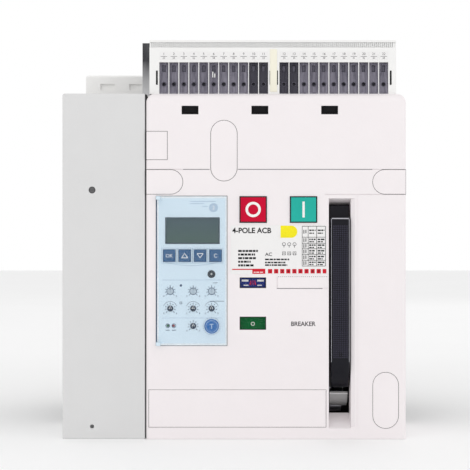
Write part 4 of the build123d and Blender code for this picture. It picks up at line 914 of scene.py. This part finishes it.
flag_ink = (charge.front - INK, charge.front + 0.03)
middle = charge.low + 6.2
marks = Form()
for sign in (-1, 1):
    marks.block(sorted((flag_x + sign * 4.6, flag_x + sign * 11.6)), flag_ink, (middle + 1.2, middle + 3.2))
    marks.block(sorted((flag_x + sign * 4.6, flag_x + sign * 9.6)), flag_ink, (middle - 3.2, middle - 2.2))
marks.piece("charge_flag_white_print", "charge_flag", white_ink, "charge_print")
spring = [(flag_x - 3.0 + 1.0 * i, middle + (2.4 if i % 2 else -2.4)) for i in range(7)]
upper = [(x, z + charge_travel) for x, z in spring]
marks = Form()
marks.stroke(spring, 1.25, *flag_ink)
marks.piece("charge_flag_red_print", "charge_flag", red_ink, "charge_print")
marks = Form()
marks.stroke(upper, 0.9, *flag_ink)
marks.piece("charge_flag_black_print", "charge_flag", black_ink, "charge_print")


# ---- handle
def grip_front_at(z, low, high, front):
    """Depth of the grip's front at a height: a long flat with a round lower end and an eased top."""
    lower_reach, upper_reach = 26.0, 3.0
    arc_radius, arc_rise, arc_depth = 30.41, 27.79, 30.36        # the lower end's arc and its centre
    if z < low + lower_reach:
        return front + arc_depth - math.sqrt(arc_radius ** 2 - (z - low - arc_rise) ** 2)
    if z > high - upper_reach:
        share = (z - high + upper_reach) / upper_reach
        return front + 1.8 * (1 - math.sqrt(max(0.0, 1 - share ** 2)))
    return front


grip = Box("handle_grip")
grip_top, tongue_front = 230.0, grip.front + 12.0
form = Form()
stations = [grip.low + s for s in (0.0, 0.6, 1.6, 3.2, 5.4, 8.2, 11.6, 15.6, 20.2, 26.0)]
stations += [grip_top - s for s in (3.0, 2.0, 1.0, 0.4, 0.0)]
corner = 2.6
sections = []
for z in stations:
    front = grip_front_at(z, grip.low, grip_top, grip.front)
    curve = [(grip.left + corner * (1 - math.cos(turn)), front + corner * (1 - math.sin(turn)), z)
             for turn in [math.radians(15 * step) for step in range(7)]]
    mirrored = [(grip.left + grip.right - x, y, z) for x, y, z in reversed(curve)]
    sections.append([(grip.left, grip.back, z)] + curve + mirrored + [(grip.right, grip.back, z)])
form.skin(sections)
form.block((grip.left, grip.right), (tongue_front, grip.back), (grip_top - 4.0, grip.high))
knurl_low, knurl_high, stud_pitch = 84.0, 223.0, 2.2
# the studs are lighter than the grip: a navy tone of their own, lifted further as painted highlight on their
# tops
studs = Form()
for row in range(int((knurl_high - knurl_low) / stud_pitch)):
    z = knurl_low + (row + 0.5) * stud_pitch
    for column in range(7):
        x = grip.x + (column - 3) * 2.25
        stud = []
        for reach, y in ((0.98, grip.front + 0.3), (0.62, grip.front - 0.4)):
            stud.append([(x - reach, y, z - reach), (x + reach, y, z - reach),
                         (x + reach, y, z + reach), (x - reach, y, z + reach)])
        studs.skin(stud)
studs.piece("handle_grip_studs", "handle", moulded("stud_navy_painted_highlight", (0.034, 0.032, 0.052), 0.35, sheen=0.25),
            "black_moulding")
form.piece("handle_knurled_grip", "handle", finishes["black_moulding"], "black_moulding", ["handle_grip"])
# painted highlight: pale grey strips down the grip's sides and along its top edge, where the edges catch the
# light
grip_edge_highlights = Form()
for x, width in ((grip.left + 0.75, 0.5), (grip.right - 0.8, 0.7)):
    grip_edge_highlights.block((x - width / 2, x + width / 2), (grip.front + 0.62, grip.front + 3.0), (80.0, grip_top - 1.0))
grip_edge_highlights.block((grip.left + 1.2, grip.right - 1.2), (grip.front + 0.1, grip.front + 1.8),
           (grip_top - 1.1, grip_top + 0.05))
highlight_grey = moulded("painted_highlight_grey", (0.42, 0.42, 0.46), 0.35, 1200, 0.00003, 0.2)
grip_edge_highlights.softened(0.12).piece("handle_grip_painted_highlights", "handle", highlight_grey, "black_moulding")
rivets = Form()
for z in (grip.low + 36.0, grip_top - 22.0):
    rivets.disc(grip.x, z, 2.4, grip.front - 0.35, grip.front + 0.5, 24)
rivets.softened(0.2).piece("handle_grip_rivets", "handle", finishes["latch_moulding"], "black_moulding")

pivot_y, pivot_z = -128.0, 50.0
apron = Form()
section = []
for radius, turns in ((20.5, range(190, 263, 6)), (19.0, range(262, 189, -6))):
    section += [polar(pivot_y, pivot_z, radius, math.radians(t)) for t in turns]
apron.skin([[(x, y, z) for y, z in section] for x in (grip.left + 0.5, grip.right - 0.5)])
apron_grey = moulded("apron_grey", (0.42, 0.42, 0.42), 0.5, sheen=0.3)
apron.piece("handle_apron", "handle", apron_grey, "black_moulding")
# painted highlight: a pale strip where the apron's top edge catches the light
apron_highlight = Form()
apron_highlight.block((grip.left + 0.5, grip.right - 0.5), (pivot_y - 20.9, pivot_y - 19.2), (44.0, 44.9))
apron_highlight.softened(0.15).piece("handle_apron_painted_highlight", "handle", moulded("apron_highlight_grey", (0.85, 0.85, 0.85), 0.4),
                         "black_moulding")

# ---- closing springs, drawn as fixed coils on the frame
springs = Box("closing_springs")
wire, coil, turns, steps = 2.0, 10.5, 9, 24
spring_y = (springs.front + springs.back) / 2
spring_low, spring_high = springs.low + wire, springs.high - wire
form = Form()
for x in (springs.left + coil + wire, springs.right - coil - wire):
    sections = []
    for step in range(turns * steps + 1):
        turn = 2 * math.pi * step / steps
        z = spring_low + (spring_high - spring_low) * step / (turns * steps)
        sections.append([(x + (coil + wire * math.cos(w)) * math.cos(turn),
                          spring_y + (coil + wire * math.cos(w)) * math.sin(turn), z + wire * math.sin(w))
                         for w in [2 * math.pi * i / 10 for i in range(10)]])
    form.skin(sections)
coils = form.piece("closing_spring_coils", "frame", finishes["spring_steel"], "spring_steel",
                   ["closing_springs"])
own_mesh(coils)

# ---- auxiliary terminals
centres = [start + (i + 0.5) * pitch for start in bay_starts for i in range(bay_poles)]
tag_low, tag_high, tag_front = 396.4, 404.6, housing.front - 0.45
number_ink = (tag_front - INK, housing.front - 0.42)
sills = Form()
tags = Form()
numbers = Form()
clamps = Form()
levers = Form()
for index, x in enumerate(centres, start=1):
    tags.plate(rounded(x - 4.5, x + 4.5, tag_low, tag_high, 0.5, 3), tag_front, housing.front + 0.3)
    numbers.words(str(index), x, 401.0, 2.5, *number_ink)
    numbers.block((x - 3.4, x + 3.4), number_ink, (399.3, 399.7))
    numbers.words(str(index + 2 * bay_poles), x, 396.9, 1.9, *number_ink)
    clamps.ring(x, modules.low + 8.9, 2.35, 1.9, housing.front + 1.6, housing.front + 9.0, 24)
    clamps.disc(x, modules.low + 8.9, 1.95, housing.front + 6.5, housing.front + 8.5, 16)
    levers.block((x - 1.6, x + 1.6), (housing.front + 4.6, housing.front + 9.5),
                 (modules.high - 9.6, modules.high - 3.3))
    sills.block((x - 4.75, x + 4.75), (housing.front - 0.05, housing.front + 0.4),
                (housing.low + 0.3, modules.low + 0.1))
sills.piece("terminal_sills", "frame", finishes["module_moulding"], "module_moulding")
tags.piece("terminal_tags", "frame", finishes["label_film"], "tower_moulding")
numbers.piece("terminal_numbers", "frame", grey_ink, "tower_moulding")
smoked = moulded("smoked_tab", (0.1, 0.095, 0.125), 0.4, 1200, 0.00004, 0.2, sheen=0.2)
clamps.piece("terminal_clamps", "frame", smoked, "module_moulding")
levers.softened(0.3).piece("terminal_release_tabs", "frame", smoked, "module_moulding")

inserts = Form()
for x in [start + o for start in bay_starts for o in (-2.1, bay_poles * pitch + 2.1)]:
    inserts.plate(rounded(x - 0.95, x + 0.95, modules.low + 8.2, modules.low + 23.0, 0.4, 3),
                  housing.front - 0.15, housing.front + 0.6)
inserts.piece("terminal_end_inserts", "frame", finishes["latch_moulding"], "latch_moulding")

ribs = Form()
x = housing.left + 1.5
while x < housing.right - 1.5:
    ribs.block((x - 0.55, x + 0.55), (housing.front + 0.5, housing.front + 2.6), (409.2, 414.2))
    x += 2.1
ribs.piece("terminal_ribs", "frame", moulded("rib_grey", (0.84, 0.84, 0.835), 0.5), "tower_moulding")

divider = Form()
divider.plate(rounded(37.8, 45.0, 362.5, 407.0, 0.6, 3), housing.front - 0.9, housing.front + 1.0)
ivory = moulded("ivory_divider", (0.86, 0.83, 0.70), 0.45)
divider.softened(0.2).piece("terminal_divider", "frame", ivory, "tower_moulding")

wires = Form()
wire_low = modules.low + 16.0
for x, reach in ((centres[5] - 1.0, 6.0), (centres[5] + 1.1, 4.0)):
    wires.block((x - 0.5, x + 0.5), (housing.front + 1.2, housing.front + 2.6), (wire_low, wire_low + reach))
wires.softened(0.2).piece("terminal_jumper", "frame", white_ink, "module_moulding")

# ---- floor, light
floor_mesh = bmesh.new()
reach = 6.0
for x, y in ((-reach, -reach), (reach, -reach), (reach, reach), (-reach, reach)):
    floor_mesh.verts.new((x, y, -0.0002))
floor_mesh.faces.new(floor_mesh.verts)
floor_data = bpy.data.meshes.new("floor")
floor_mesh.to_mesh(floor_data)
floor_mesh.free()
floor = bpy.data.objects.new("floor", floor_data)
bpy.context.scene.collection.objects.link(floor)
paper = Finish("studio_paper", Specular_IOR_Level=0.1)
paper.set("Base Color", paper.mix(paper.grain(3, 4), (0.96, 0.96, 0.96, 1.0), (0.99, 0.99, 0.99, 1.0)))
paper.set("Roughness", (0.85 + (paper.grain(8) - 0.5) * 0.1).clipped())
floor_data.materials.append(paper.material)


def lamp_panel(name, place, target, size, power):
    """A square soft light aimed at a point."""
    light = bpy.data.lights.new(name, "AREA")
    light.shape = "SQUARE"
    light.size = size
    light.energy = power
    made = bpy.data.objects.new(name, light)
    made.location = place
    made.rotation_euler = (Vector(target) - Vector(place)).to_track_quat("-Z", "Y").to_euler()
    bpy.context.scene.collection.objects.link(made)


lamp_panel("key_light", (-1.2, -1.9, 1.5), (0, 0, 0.2), 1.6, 5.0)
lamp_panel("fill_light", (1.6, -1.7, 0.8), (0, 0, 0.2), 1.8, 4.0)
lamp_panel("top_light", (0.0, 0.2, 2.2), (0, 0, 0.3), 1.6, 1.5)
lamp_panel("back_light", (0.6, 2.2, 1.3), (0, 0, 0.2), 1.8, 2.0)

world = bpy.data.worlds.new("studio")
world.use_nodes = True
sky = world.node_tree
direction = sky.nodes.new("ShaderNodeTexCoord")
parts = sky.nodes.new("ShaderNodeSeparateXYZ")
ramp = sky.nodes.new("ShaderNodeValToRGB")
ramp.color_ramp.elements.new(0.5)
for element, (height, grey) in zip(ramp.color_ramp.elements, ((0.0, 1.0), (0.3, 1.0), (0.7, 0.85))):
    element.position = height
    element.color = (grey, grey, grey, 1.0)
sky.links.new(direction.outputs["Generated"], parts.inputs[0])
sky.links.new(parts.outputs[2], ramp.inputs[0])
sky.links.new(ramp.outputs[0], sky.nodes["Background"].inputs[0])
sky.nodes["Background"].inputs[1].default_value = 1.0
bpy.context.scene.world = world
bpy.context.scene.view_settings.view_transform = "Standard"
